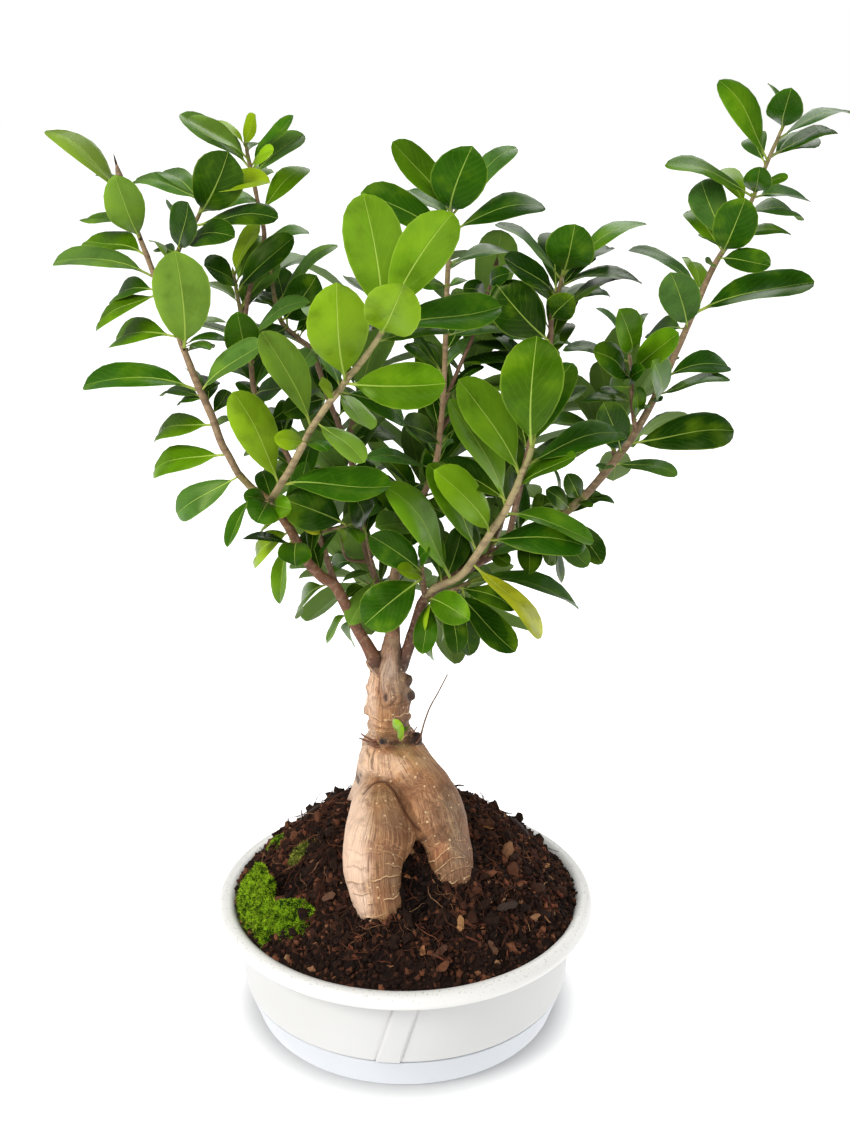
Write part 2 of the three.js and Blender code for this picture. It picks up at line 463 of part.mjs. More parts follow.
// A leaf from its base to its tip: each ring is a wide flat triangle, its keel the midrib on the underside,
// its edges lifted into a shallow fold and its length arched towards the upper face. A grown leaf, which
// cuts clearance for it, has six sides, so that it is clear of the leaf all round.
function leaf(base, tip, normal, width, grow = 0) {
  const along = tip.clone().sub(base);
  const length = along.length();
  along.normalize();
  const across = along.clone().cross(normal).normalize();
  const profile = LEAF_OUTLINE.map(([share, size]) => new THREE.Vector2(size > 0 ? 1 : 0, share));
  const geometry = new THREE.LatheGeometry(profile, grow > 0 ? 6 : 3, Math.PI);
  const position = geometry.attributes.position;
  for (let i = 0; i < position.count; i += 1) {
    const [share, size, isBlade] = LEAF_OUTLINE[i % LEAF_OUTLINE.length];
    const halfWidth = isBlade ? size * width : PETIOLE_RADIUS;
    const halfThickness = isBlade ? LEAF_HALF_THICKNESS : PETIOLE_RADIUS;
    const [ringX, ringZ] = [position.getX(i), position.getZ(i)];
    const isKeel = ringZ < -0.9;
    const edgeLift = halfThickness / 2 + (isBlade ? halfWidth * LEAF_FOLD : 0);
    let [sideways, lift] = [0, 0];
    if (size > 0) {
      sideways = Math.abs(ringX) > 0.5 ? Math.sign(ringX) * (halfWidth + 2 * grow) : 0;
      lift = isKeel ? -halfThickness - grow : edgeLift + Math.sign(ringZ) * grow;
    }
    const arch = 4 * Math.max(share, 0) * (1 - share) * LEAF_ARCH * length;
    const endGrow = size > 0 ? 0 : Math.sign(share) * 2 * grow;
    const point = base.clone().addScaledVector(along, share * length + endGrow);
    point.addScaledVector(across, sideways).addScaledVector(normal, lift + arch);
    position.setXYZ(i, point.x, point.y, point.z);
  }
  return toSolid(geometry);
}

// The nearest place on a stem or its twigs to a leaf's written x and z, as a real place and its depth
function placeOnStem(lines, x, z) {
  let best = { distance: Infinity };
  for (const rows of lines) {
    for (let k = 1; k < rows.length; k += 1) {
      const [from, to] = [rows[k - 1], rows[k]];
      const [dx, dz] = [to[0] - from[0], to[1] - from[1]];
      const share = THREE.MathUtils.clamp(((x - from[0]) * dx + (z - from[1]) * dz) / (dx * dx + dz * dz), 0, 1);
      const row = [0, 1, 2].map((n) => from[n] + (to[n] - from[n]) * share);
      const distance = Math.hypot(row[0] - x, row[1] - z);
      if (distance < best.distance) best = { distance, row };
    }
  }
  return best.row;
}

// A leaf written as it is seen: its depth change is widened until the leaf has a natural length, and it is
// rolled about its midrib until its natural width looks as wide as written.
function seenLeaf(lines, [x, z, tipX, tipZ, depthChange, seenWidth], grow) {
  const row = placeOnStem(lines, x, z);
  const run = Math.hypot(tipX - row[0], tipZ - row[1]);
  const natural = seenWidth >= 5 && run >= 16 ? LEAF_LENGTH_MATURE : LEAF_LENGTH_YOUNG;
  const least = Math.sqrt(Math.max(natural ** 2 - run ** 2, 0));
  const change = Math.sign(depthChange) * Math.max(Math.abs(depthChange), least);
  const base = seen(row);
  const tip = seen([tipX, tipZ, row[2] + change]);
  const along = tip.clone().sub(base);
  const length = along.length();
  along.normalize();
  const middle = base.clone().lerp(tip, 0.5);
  const toViewer = VIEWPOINT.clone().sub(middle);
  toViewer.addScaledVector(along, -toViewer.dot(along)).normalize();
  const upward = along.x >= 0 ? toViewer.clone().cross(along) : along.clone().cross(toViewer);
  const trueWidth = seenWidth * (1 - middle.y / VIEWPOINT.y);
  const width = Math.max(trueWidth, LEAF_WIDTH_TO_LENGTH * length);
  const roll = Math.acos(trueWidth / width);
  const normal = toViewer.multiplyScalar(Math.cos(roll)).addScaledVector(upward, Math.sin(roll));
  return leaf(base, tip, normal, width, grow);
}

// Leaves in a spiral round the stem, each leaning out, up and along it
function spray(rows, [first, last, count], grow) {
  const up = new THREE.Vector3(0, 0, 1);
  const start = seen(rows[0]);
  const axis = seen(rows[rows.length - 1]).sub(start).normalize();
  const side = axis.clone().cross(up).normalize();
  const over = side.clone().cross(axis);
  return Array.from({ length: count }, (_, k) => {
    const share = first + ((last - first) * k) / (count - 1);
    const step = share * (rows.length - 1);
    const from = Math.min(Math.floor(step), rows.length - 2);
    const base = seen(rows[from]).lerp(seen(rows[from + 1]), step - from);
    const turn = k * SPRAY_TURN;
    const outward = side.clone().multiplyScalar(Math.cos(turn)).addScaledVector(over, Math.sin(turn));
    const along = outward.multiplyScalar(SPRAY_OUTWARD).addScaledVector(axis, SPRAY_ONWARD);
    along.addScaledVector(up, SPRAY_UPWARD).normalize();
    const length = SPRAY_LEAF_LENGTH + SPRAY_LEAF_SPREAD * Math.sin(3 * k);
    const tip = base.clone().addScaledVector(along, length);
    const normal = axis.clone().multiplyScalar(0.7).addScaledVector(up, 0.7);
    normal.addScaledVector(along, -normal.dot(along)).normalize();
    return leaf(base, tip, normal, LEAF_WIDTH_TO_LENGTH * length, grow);
  });
}

const STEM_SIDES = 5;
const TWIG_SIDES = 4;
const TRUNK_SIDES = 12;

const stemLines = ({ stem, twigs = [] }) => [stem, ...twigs];
const stemSolid = (shoot, grow = 0) =>
  joined(stemLines(shoot).map((rows) => limb(rows, rows === shoot.stem ? STEM_SIDES : TWIG_SIDES, grow)));
function leafSolid(shoot, grow = 0) {
  const written = (shoot.leaves ?? []).map((row) => seenLeaf(stemLines(shoot), row, grow));
  const sprayed = shoot.spray ? spray(shoot.stem, shoot.spray, grow) : [];
  return joined([...written, ...sprayed]);
}

// Drip saucer: a shallow round tray, its underside flat and whole across the middle
function saucer() {
  const inside = SAUCER_RIM_RADIUS - SAUCER_WALL;
  return toSolid(turned([
    [0, 0], [SAUCER_FOOT_RADIUS - 1.5, 0], [SAUCER_FOOT_RADIUS, 1.2], [SAUCER_RIM_RADIUS, SAUCER_HEIGHT],
    [inside, SAUCER_HEIGHT], [SAUCER_FOOT_RADIUS - SAUCER_WALL, SAUCER_FLOOR], [0, SAUCER_FLOOR],
  ])).simplify();
}

// Pot: a bowl with a rolled lip and a drain hole, its foot standing inside the saucer
const POT_FOOT_Z = SAUCER_FLOOR + GAP;
const POT_SKIRT_Z = SAUCER_HEIGHT + 0.6;
const POT_NECK_RADIUS = SAUCER_RIM_RADIUS - SAUCER_WALL - 1.2;
function lipArc(from, to, steps) {
  const middle = POT_RIM_RADIUS - POT_LIP_THICKNESS / 2;
  const half = POT_LIP_THICKNESS / 2;
  return Array.from({ length: steps + 1 }, (_, k) => {
    const angle = THREE.MathUtils.degToRad(from + ((to - from) * k) / steps);
    return [middle + half * Math.cos(angle), POT_RIM_HEIGHT - half + half * Math.sin(angle)];
  });
}
function pot() {
  const profile = [
    [DRAIN_HOLE_RADIUS, POT_FOOT_Z], [POT_FOOT_RADIUS, POT_FOOT_Z], [POT_NECK_RADIUS, POT_SKIRT_Z], [POT_SKIRT_RADIUS, POT_SKIRT_Z], [POT_BELLY_RADIUS, POT_BELLY_Z],
    [POT_SHOULDER_RADIUS, POT_SHOULDER_Z], ...lipArc(-75, 165, 6),
    [POT_MOUTH_RADIUS - 2.6, POT_SHOULDER_Z], [POT_SKIRT_RADIUS - POT_WALL, 30],
    [POT_NECK_RADIUS - POT_WALL, POT_SKIRT_Z],
    [POT_FOOT_RADIUS - POT_WALL, POT_FOOT_Z + POT_FLOOR], [DRAIN_HOLE_RADIUS, POT_FOOT_Z + POT_FLOOR],
  ];
  profile.push(profile[0]);
  const bowl = toSolid(turned(profile));
  return largestBody(bowl.add(potRib()));
}

// The pot's slanted rib: a low raised band running down the front wall from under the lip to the seam
function potRib() {
  const height = RIB_TOP_Z - POT_SKIRT_Z;
  const rib = new THREE.BoxGeometry(RIB_WIDTH, POT_WALL, height, 2, 1, 4);
  const position = rib.attributes.position;
  for (let i = 0; i < position.count; i += 1) {
    const share = position.getZ(i) / height + 0.5;
    const x = position.getX(i) + THREE.MathUtils.lerp(RIB_BOTTOM_X, RIB_TOP_X, share);
    const z = POT_SKIRT_Z + share * height;
    const wall = z < POT_BELLY_Z
      ? THREE.MathUtils.mapLinear(z, POT_SKIRT_Z, POT_BELLY_Z, POT_SKIRT_RADIUS, POT_BELLY_RADIUS)
      : THREE.MathUtils.mapLinear(z, POT_BELLY_Z, POT_SHOULDER_Z, POT_BELLY_RADIUS, POT_SHOULDER_RADIUS);
    const radius = position.getY(i) < 0 ? wall + RIB_PROUD : wall - POT_WALL / 2;
    position.setXYZ(i, x, -Math.sqrt(radius ** 2 - x ** 2), z);
  }
  return toSolid(rib);
}

// Soil: fills the bowl and rises to a mound round the rootstock
const soilTop = (radius) => SOIL_EDGE_Z + SOIL_MOUND * (1 - (radius / POT_SHOULDER_RADIUS) ** 2);
function soil(trunkClearance) {
  const floor = POT_FOOT_Z + POT_FLOOR + GAP;
  const side = [
    [POT_FOOT_RADIUS - POT_WALL - 1, floor], [POT_NECK_RADIUS - POT_WALL - 1, POT_SKIRT_Z + 0.5],
    [POT_SKIRT_RADIUS - POT_WALL - 0.7, 30], [SOIL_RADIUS + 0.2, POT_SHOULDER_Z - 0.5],
  ];
  const steps = 6;
  const mound = Array.from({ length: steps + 1 }, (_, k) => {
    const radius = SOIL_RADIUS * (1 - k / steps);
    return [radius, soilTop(radius)];
  });
  const body = toSolid(turned([[0, floor], ...side, ...mound]));
  return largestBody(body.subtract(trunkClearance));
}

// Moss: a low irregular cushion following the soil's slope
function mossCushion([x, y, halfLength, halfWidth, height, turn], grow = 0) {
  const dome = new THREE.SphereGeometry(1, 11, 5);
  const position = dome.attributes.position;
  const angle = THREE.MathUtils.degToRad(turn);
  for (let i = 0; i < position.count; i += 1) {
    const [u, v] = [position.getX(i) * (halfLength + grow), position.getY(i) * (halfWidth + grow)];
    const w = position.getZ(i);
    const px = x + u * Math.cos(angle) - v * Math.sin(angle);
    const py = y + u * Math.sin(angle) + v * Math.cos(angle);
    const ground = soilTop(Math.hypot(px, py));
    position.setXYZ(i, px, py, ground + (w > 0 ? w * (height + grow) : w * (2 + grow)) + 0.5);
  }
  return toSolid(dome);
}

// A chip: a small flat wedge lying on the soil's slope
function chip([x, y, length, width, thickness, turn]) {
  const block = new THREE.BoxGeometry(length, width, thickness, 2, 1, 1);
  const position = block.attributes.position;
  const angle = THREE.MathUtils.degToRad(turn);
  for (let i = 0; i < position.count; i += 1) {
    const [u, v, w] = [position.getX(i), position.getY(i), position.getZ(i)];
    const narrow = 1 - 0.45 * (u / length + 0.5);
    const px = x + u * Math.cos(angle) - v * narrow * Math.sin(angle);
    const py = y + u * Math.sin(angle) + v * narrow * Math.cos(angle);
    position.setXYZ(i, px, py, soilTop(Math.hypot(px, py)) + w + thickness / 2 + GAP + 0.4);
  }
  return toSolid(block);
}

function rootstock(grow = 0) {
  const limbs = ROOTSTOCK_LIMBS.map((rows) => limb(rows, TRUNK_SIDES, grow));
  const knobs = ROOTSTOCK_KNOBS.map((row) => knob(row, grow));
  return joined([...limbs, ...knobs]);
}

const bonsai = new THREE.Group();
function addPiece(name, solid, material) {
  const mesh = new THREE.Mesh(toGeometry(solid), material);
  mesh.name = name;
  bonsai.add(mesh);
}

// Pot, saucer, soil and rootstock
const rootClearance = rootstock(GAP);
const potSolid = pot();
const soilSolid = soil(rootClearance);
addPiece('drip_saucer', saucer(), saucerWhite);
addPiece('pot', potSolid, glazedWhite);
addPiece('potting_soil', soilSolid, darkPeat);
addPiece('rootstock', rootstock(), rootBark);

// Moss and chips rest on the soil, clear of it and of the pot's lip
const mossTrim = [soilSolid.translate([0, 0, GAP]), potSolid, potSolid.translate([0, 0, GAP]), rootClearance];
for (const [name, cushion] of Object.entries(MOSS_CUSHIONS)) {
  addPiece(name, largestBody(cutBy(mossCushion(cushion), mossTrim)), mossGreen);
  mossTrim.push(mossCushion(cushion, GAP));
}
CHIPS.forEach((row, k) => {
  addPiece(`bark_chip_${k + 1}`, largestBody(cutBy(chip(row), mossTrim)), chipWood);
});

// The crown: first every stem, each clear of the ones before it, then the leaves, each shoot's clear of
// the other stems and of the leaves before it.
const shoots = LEAF_BRANCH_ORDER.map((name) => SHOOTS[name]);
const stems = shoots.map((shoot) => stemSolid(shoot));
const stemClearances = shoots.map((shoot) => stemSolid(shoot, GAP));
const leafClearances = [];
LEAF_BRANCH_ORDER.forEach((name, n) => {
  const otherStems = stemClearances.filter((_, k) => k !== n);
  const stem = cutBy(stems[n], [rootClearance, ...stemClearances.slice(0, n)]);
  const leaves = cutBy(leafSolid(shoots[n]), [rootClearance, ...otherStems]);
  const whole = cutBy(stem.add(leaves), leafClearances);
  leafClearances.push(cutBy(leafSolid(shoots[n], GAP), [...otherStems]));
  addPiece(name, largestBody(whole), name.endsWith('branch') ? twigBark : leafGreen);
});

// Sprout and dry stalk at the graft
const crownClearances = [rootClearance, ...stemClearances, ...leafClearances];
const sproutLeaves = SPROUT_LEAVES.map((row) => seenLeaf([SPROUT_STEM], row, 0));
const sprout = joined([limb(SPROUT_STEM, TWIG_SIDES), ...sproutLeaves]);
addPiece('graft_sprout', largestBody(cutBy(sprout, crownClearances)), leafGreen);
addPiece('dry_stalk', largestBody(cutBy(limb(STALK, TWIG_SIDES), crownClearances)), twigBark);

export default bonsai;
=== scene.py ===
import math
import random
from itertools import product

import bmesh
import bpy
import numpy as np
from mathutils import Matrix, Vector


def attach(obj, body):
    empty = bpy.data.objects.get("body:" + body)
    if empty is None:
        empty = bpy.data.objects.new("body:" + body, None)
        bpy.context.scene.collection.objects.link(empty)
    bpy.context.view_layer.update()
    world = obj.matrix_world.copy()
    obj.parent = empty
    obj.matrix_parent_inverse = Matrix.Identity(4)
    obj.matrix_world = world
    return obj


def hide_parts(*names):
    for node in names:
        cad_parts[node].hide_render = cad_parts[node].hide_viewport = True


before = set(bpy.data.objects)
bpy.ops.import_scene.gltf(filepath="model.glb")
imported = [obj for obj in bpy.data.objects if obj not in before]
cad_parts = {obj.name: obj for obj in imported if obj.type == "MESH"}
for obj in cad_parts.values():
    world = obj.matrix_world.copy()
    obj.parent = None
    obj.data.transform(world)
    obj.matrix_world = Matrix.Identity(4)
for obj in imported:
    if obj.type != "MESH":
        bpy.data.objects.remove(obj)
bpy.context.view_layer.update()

# The studio
# A pale floor under plain soft light: a lamp high on the left, weaker ones in front, on the right and
# behind, and a dim white room all round that the camera sees as white.
# The camera stands where the photograph was taken; its distance and its place are in millimetres.
EYE_AWAY = 707.0
VIEWPOINT = np.array((10.5, -EYE_AWAY, 496.0))
LOOK_DOWN = math.radians(19.25)
LENS_PIXELS = 1500.0
FRAME_HEIGHT_PIXELS = 1133.0
SENSOR = 36.0


def shown(name, data):
    """An object of that data, put in the scene."""
    made = bpy.data.objects.new(name, data)
    bpy.context.scene.collection.objects.link(made)
    return made


camera = shown("camera", bpy.data.cameras.new("camera"))
camera.data.sensor_width = SENSOR
camera.data.lens = SENSOR * LENS_PIXELS / FRAME_HEIGHT_PIXELS
camera.data.clip_start = 0.05
camera.data.clip_end = 100.0
camera.location = tuple(VIEWPOINT / 1000)
camera.rotation_euler = (math.pi / 2 - LOOK_DOWN, 0.0, 0.0)
bpy.context.scene.camera = camera


def softbox(name, place, target, size, power, colour):
    """A square area lamp at place that faces target; sizes in metres, power in watts."""
    lamp = shown(name, bpy.data.lights.new(name, "AREA"))
    lamp.data.size = size
    lamp.data.energy = power
    lamp.data.color = colour
    lamp.location = place
    lamp.rotation_euler = (Vector(target) - Vector(place)).to_track_quat("-Z", "Y").to_euler()


softbox("key_lamp", (-1.2, -0.85, 1.2), (0.0, 0.0, 0.2), 0.7, 22.5, (1.0, 0.985, 0.96))
softbox("front_lamp", (0.15, -1.3, 1.5), (0.0, 0.0, 0.1), 1.3, 12.0, (1.0, 1.0, 1.0))
softbox("fill_lamp", (1.4, -1.1, 0.9), (0.0, 0.0, 0.2), 1.0, 2.0, (0.97, 0.985, 1.0))
softbox("side_lamp", (1.4, 0.65, 0.4), (0.0, 0.0, 0.05), 1.0, 8.5, (1.0, 1.0, 1.0))
softbox("back_lamp", (0.3, 1.5, 1.6), (0.0, 0.0, 0.25), 1.2, 12.0, (1.0, 1.0, 1.0))


def paint(code, shade=1.0):
    """A colour written as six hex digits, as a linear colour; a shade under 1 makes it darker."""
    channels = [int(code[k:k + 2], 16) / 255 for k in (0, 2, 4)]
    linear = [c / 12.92 if c <= 0.04045 else ((c + 0.055) / 1.055) ** 2.4 for c in channels]
    return [shade * c for c in linear] + [1.0]


def add(tree, kind, inputs=None, **settings):
    """A node of that kind; an input takes a value or another node's output."""
    node = tree.nodes.new(kind)
    for key, value in settings.items():
        setattr(node, key, value)
    for key, value in (inputs or {}).items():
        if isinstance(value, bpy.types.NodeSocket):
            tree.links.new(value, node.inputs[key])
        else:
            node.inputs[key].default_value = value
    return node


def ranged(tree, value, low, high, first=0.0, last=1.0):
    """The value spread so that low gives first and high gives last."""
    return add(tree, "ShaderNodeMapRange", {
        "Value": value, "From Min": low, "From Max": high,
        "To Min": first, "To Max": last}).outputs["Result"]


def figured(tree, operation, first, second=0.0):
    """Two values joined by a sum or other operation, or the first one alone put through it."""
    return add(tree, "ShaderNodeMath", {0: first, 1: second}, operation=operation).outputs[0]


def times(tree, first, second):
    """The product of two values."""
    return figured(tree, "MULTIPLY", first, second)


def spot_of(tree):
    """Where a point lies on its piece, in metres."""
    return add(tree, "ShaderNodeTexCoord").outputs["Object"]


def finish_of(name, colour, roughness, **sockets):
    """A material with its shader's constant values set; returns the material, its tree and the shader."""
    material = bpy.data.materials.new(name)
    material.use_nodes = True
    shader = material.node_tree.nodes["Principled BSDF"]
    shader.inputs["Base Color"].default_value = paint(colour)
    shader.inputs["Roughness"].default_value = roughness
    for key, value in sockets.items():
        shader.inputs[key.replace("_", " ")].default_value = value
    return material, material.node_tree, shader


bpy.context.scene.view_settings.view_transform = "Standard"
world = bpy.data.worlds.new("white_room")
world.use_nodes = True
tree = world.node_tree
room = tree.nodes["Background"]
room.inputs["Color"].default_value = (1.0, 1.0, 1.0, 1.0)
camera_ray = add(tree, "ShaderNodeLightPath").outputs["Is Camera Ray"]
tree.links.new(ranged(tree, camera_ray, 0.0, 1.0, 0.2, 1.0), room.inputs["Strength"])
bpy.context.scene.world = world

floor_mesh = bpy.data.meshes.new("floor")
floor_mesh.from_pydata([(-9, -9, 0), (9, -9, 0), (9, 9, 0), (-9, 9, 0)], [], [(0, 1, 2, 3)])
floor = shown("floor", floor_mesh)
floor_finish, tree, shader = finish_of("pale_floor", "b8b8b8", 0.85, Emission_Color=paint("ffffff"))
# The floor glows more the further it lies from the pot, so that it is white all over but for a painted soft
# shadow, a darker ring that the camera sees round the saucer; to other rays it glows evenly and so lights
# the pot from below. These are the painted shadow's distances from the pot's axis, in metres.
SHADOW_CORE, SHADOW_EDGE = 0.078, 0.1065
away = add(tree, "ShaderNodeVectorMath", {0: spot_of(tree)}, operation="LENGTH").outputs["Value"]
far = ranged(tree, away, SHADOW_CORE, SHADOW_EDGE, 0.0, 1.1)
camera_ray = add(tree, "ShaderNodeLightPath").outputs["Is Camera Ray"]
tree.links.new(ranged(tree, camera_ray, 0.0, 1.0, 0.8, far), shader.inputs["Emission Strength"])
floor_mesh.materials.append(floor_finish)


# Drip saucer
# A shallow round tray of cool white plastic, moulded in one piece. The pot's foot stands inside it.
def mesh_piece(name, points, faces, material=None, smooth=True):
    """A mesh object from points in millimetres; its normals point out."""
    mesh = bpy.data.meshes.new(name)
    mesh.from_pydata([tuple(p) for p in np.asarray(points, float) * 0.001], [], faces)
    shell = bmesh.new()
    shell.from_mesh(mesh)
    bmesh.ops.recalc_face_normals(shell, faces=shell.faces)
    shell.to_mesh(mesh)
    shell.free()
    mesh.polygons.foreach_set("use_smooth", [smooth] * len(mesh.polygons))
    if material:
        mesh.materials.append(material)
    return shown(name, mesh)


def rounded(profile, reach):
    """The profile with every corner eased over that reach on both sides."""
    eased = [profile[0]]
    for before, corner, after in zip(profile, profile[1:], profile[2:]):
        before, corner, after = (Vector(p) for p in (before, corner, after))
        ends = []
        for other in (before, after):
            run = other - corner
            ends.append(corner + run * min(0.45, reach / run.length))
        for share in (0.0, 0.25, 0.5, 0.75, 1.0):
            point = ends[0].lerp(corner, share).lerp(corner.lerp(ends[1], share), share)
            eased.append(tuple(point))
    return eased + [profile[-1]]


def turned(profile, segments):
    """Points and faces of a profile of (radius, height) turned about Z."""
    points, rings, faces = [], [], []
    for radius, height in profile:
        if radius == 0:
            rings.append([len(points)] * segments)
            points.append((0.0, 0.0, height))
            continue
        rings.append(range(len(points), len(points) + segments))
        for k in range(segments):
            turn = math.tau * k / segments
            points.append((radius * math.sin(turn), -radius * math.cos(turn), height))
    for low, high in zip(rings, rings[1:]):
        for k in range(segments):
            corners = [low[k], low[(k + 1) % segments], high[(k + 1) % segments], high[k]]
            faces.append(tuple(dict.fromkeys(corners)))
    return points, faces


def settle(piece, slot, *nodes):
    """The piece rests with the whole plant and stands for those nodes, if any; its slot is not used."""
    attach(piece, "root")
    if nodes:
        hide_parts(*nodes)


def noise(tree, place, scale, detail=2.0, rough=0.5, field="Fac"):
    """Smooth random values in lumps, which are smaller the larger the scale is."""
    return add(tree, "ShaderNodeTexNoise", {
        "Vector": place, "Scale": scale, "Detail": detail, "Roughness": rough}).outputs[field]


def blended(tree, weight, first, second, how="MIX"):
    """Two colours mixed, hex codes or outputs of nodes; weight 1 gives the second one's full effect."""
    first, second = (paint(colour) if isinstance(colour, str) else colour for colour in (first, second))
    values = {0: weight, 6: first, 7: second}
    return add(tree, "ShaderNodeMix", values, data_type="RGBA", blend_type=how).outputs[2]


# Faint unevenness over a surface: a colour drifting towards another, and a height for a bump
mottle = bpy.data.node_groups.new("mottle", "ShaderNodeTree")
for label, kind in (("Base", "Color"), ("Drift", "Color"), ("Grain", "Float"), ("Amount", "Float")):
    mottle.interface.new_socket(label, in_out="INPUT", socket_type="NodeSocket" + kind)
for label, kind in (("Color", "Color"), ("Height", "Float")):
    mottle.interface.new_socket(label, in_out="OUTPUT", socket_type="NodeSocket" + kind)
into = add(mottle, "NodeGroupInput").outputs
blots = noise(mottle, spot_of(mottle), into["Grain"], 5.0)
weight = times(mottle, ranged(mottle, blots, 0.35, 0.65), into["Amount"])
add(mottle, "NodeGroupOutput", {
    "Color": blended(mottle, weight, into["Base"], into["Drift"]), "Height": blots})


def mottled(tree, base, drift, grain, amount):
    """The mottle group placed in a material with its own values; gives its outputs."""
    values = {"Base": paint(base), "Drift": paint(drift), "Grain": grain, "Amount": amount}
    return add(tree, "ShaderNodeGroup", values, node_tree=mottle).outputs


def dressed(tree, shader, colour, height, strength, depth):
    """Gives a shader its colour and its fine relief, which is height times depth, in metres."""
    tree.links.new(colour, shader.inputs["Base Color"])
    bump = add(tree, "ShaderNodeBump", {"Height": height, "Strength": strength, "Distance": depth})
    tree.links.new(bump.outputs["Normal"], shader.inputs["Normal"])


SAUCER_PROFILE = [(0, 0), (78.5, 0), (80.5, 1.2), (86.5, 18.6), (83.9, 18.6), (77.9, 3), (0, 3)]

saucer_finish, tree, shader = finish_of("saucer_white", "d2d5da", 0.4, Coat_Weight=0.1, Coat_Roughness=0.3)
cool = mottled(tree, "d3d6db", "ccd0d6", 30.0, 0.5)
dressed(tree, shader, cool["Color"], cool["Height"], 0.15, 0.0004)
saucer = mesh_piece("saucer_tray", *turned(rounded(SAUCER_PROFILE, 1.2), 160), saucer_finish)
settle(saucer, "saucer", "drip_saucer")


# Pot
# A round bowl of warm white plastic with a rolled lip, moulded in one piece with a low slanted band on its
# front wall. Its foot stands in the saucer, and a drain hole goes through its floor.
LIP_MIDDLE = (95.5, 61.5)
LIP_RADIUS = 4.5
BAND_PROUD = 0.9
BAND_HALF_WIDTH = 6.4
BAND_TOP = (1.9, 55.5)
BAND_BOTTOM = (-7.9, 19.5)
BAND_EASE = 0.8
BAND_END = 57.5
# The part of the pot that has the band: the front of its outer wall
FRONT_Y = -60
WALL_FROM, WALL_TO = 19, 58
WALL_LEAST_RADIUS = 86
FRONT_TURNS = (-0.3, 0.2)
GROOVE_DEPTH = 0.8
GROOVE_HALF_WIDTH = 0.6

# Radius and height of the outer wall at its foot, at its bend and under its lip
WALL = [(87, 19.2), (88.6, 38), (90, 58.5)]

lip = []
for degrees in range(-78, 175, 14):
    turn = math.radians(degrees)
    lip.append((LIP_MIDDLE[0] + LIP_RADIUS * math.cos(turn), LIP_MIDDLE[1] + LIP_RADIUS * math.sin(turn)))
wall_radii, wall_heights = zip(*WALL)
outer_wall = [(np.interp(z, wall_heights, wall_radii), z) for z in range(21, 58, 3)]
pot_profile = [(7, 3.3), (77, 3.3), (82.7, 19.2), (86.4, 19.2), (87, 19.9)] + outer_wall
pot_profile += [(90, 57.6)] + lip + [(88.9, 57.5), (84, 30), (79.7, 19.2), (74, 7.3), (7, 7.3), (7, 3.3)]


def front_band(x, y, height):
    """How far the slanted band and the grooves at its sides stand out from the front wall."""
    if y > FRONT_Y or not WALL_FROM <= height <= WALL_TO or math.hypot(x, y) < WALL_LEAST_RADIUS:
        return 0.0
    along = (height - BAND_BOTTOM[1]) / (BAND_TOP[1] - BAND_BOTTOM[1])
    middle = BAND_BOTTOM[0] + (BAND_TOP[0] - BAND_BOTTOM[0]) * along
    inside = BAND_HALF_WIDTH - abs(x - middle)
    raised = min(1.0, max(0.0, inside / BAND_EASE))
    groove = max(0.0, 1.0 - abs(inside) / GROOVE_HALF_WIDTH)
    ends = min(1.0, max(0.0, (BAND_END - height) / 1.5))
    return (BAND_PROUD * raised * raised * (3 - 2 * raised) - GROOVE_DEPTH * groove) * ends


def ring_faces(starts, count):
    """Faces between each ring of count points and the next; a ring is given by its first point's number."""
    faces = []
    for a, b in zip(starts, starts[1:]):
        for k in range(count):
            faces.append((a + k, a + (k + 1) % count, b + (k + 1) % count, b + k))
    return faces


def bowl(profile, segments, fine):
    """A turned bowl whose rings have finer steps across the front, where the band is."""
    first, last = FRONT_TURNS
    steps = [*np.linspace(first, last, fine), *np.linspace(last, math.tau + first, segments)[1:-1]]
    points = []
    for radius, height in profile[:-1]:
        for turn in steps:
            x, y = radius * math.sin(turn), -radius * math.cos(turn)
            spread = 1 + front_band(x, y, height) / radius
            points.append((x * spread, y * spread, height))
    return points, ring_faces([*range(0, len(points), len(steps)), 0], len(steps))


def axis_of(tree, vector, axis):
    """One of a vector's three values."""
    return add(tree, "ShaderNodeSeparateXYZ", {"Vector": vector}).outputs[axis]


def coated(tree, colour, coats):
    """The colour under coats of other ones: each shows from nothing at one value to its most at another."""
    for value, nothing_at, most_at, most, code in coats:
        colour = blended(tree, ranged(tree, value, nothing_at, most_at, 0.0, most), colour, code)
    return colour


pot_finish, tree, shader = finish_of("pot_white", "e2e2e0", 0.42, Coat_Weight=0.1, Coat_Roughness=0.3)
warm = mottled(tree, "d6d6d5", "d0d0ce", 22.0, 0.5)
place = spot_of(tree)
height = axis_of(tree, place, "Z")
specks = ranged(tree, noise(tree, place, 900.0, 3.0), 0.6, 0.7)
rim_dust = times(tree, ranged(tree, height, 0.0615, 0.0655), specks)
# The last coat is a thin painted shadow line in the joint between the skirt and the saucer
dust_highlight_and_shade = coated(tree, warm["Color"], [
    # The first coat is a painted highlight that makes the top of the wall and the lip lighter
    (height, 0.053, 0.061, 1.0, "efeeeb"), (rim_dust, 0.0, 1.0, 0.5, "8a7a66"),
    (height, 0.0197, 0.0192, 0.7, "7f8488")])
dressed(tree, shader, dust_highlight_and_shade, warm["Height"], 0.2, 0.0005)
settle(mesh_piece("pot_bowl", *bowl(pot_profile, 150, 110), pot_finish), "pot", "pot")


# Potting soil
# Dark peat heaped in a mound round the roots, full of crumbs, curled brown fibres and a few pale splinters.
# A bumpy mound carries the loose bits, which are strewn over it.

# Odd numbers that only scatter the values
SCATTER = np.array((127.1, 311.7, 74.7))
SPREAD_OUT = 43758.5453


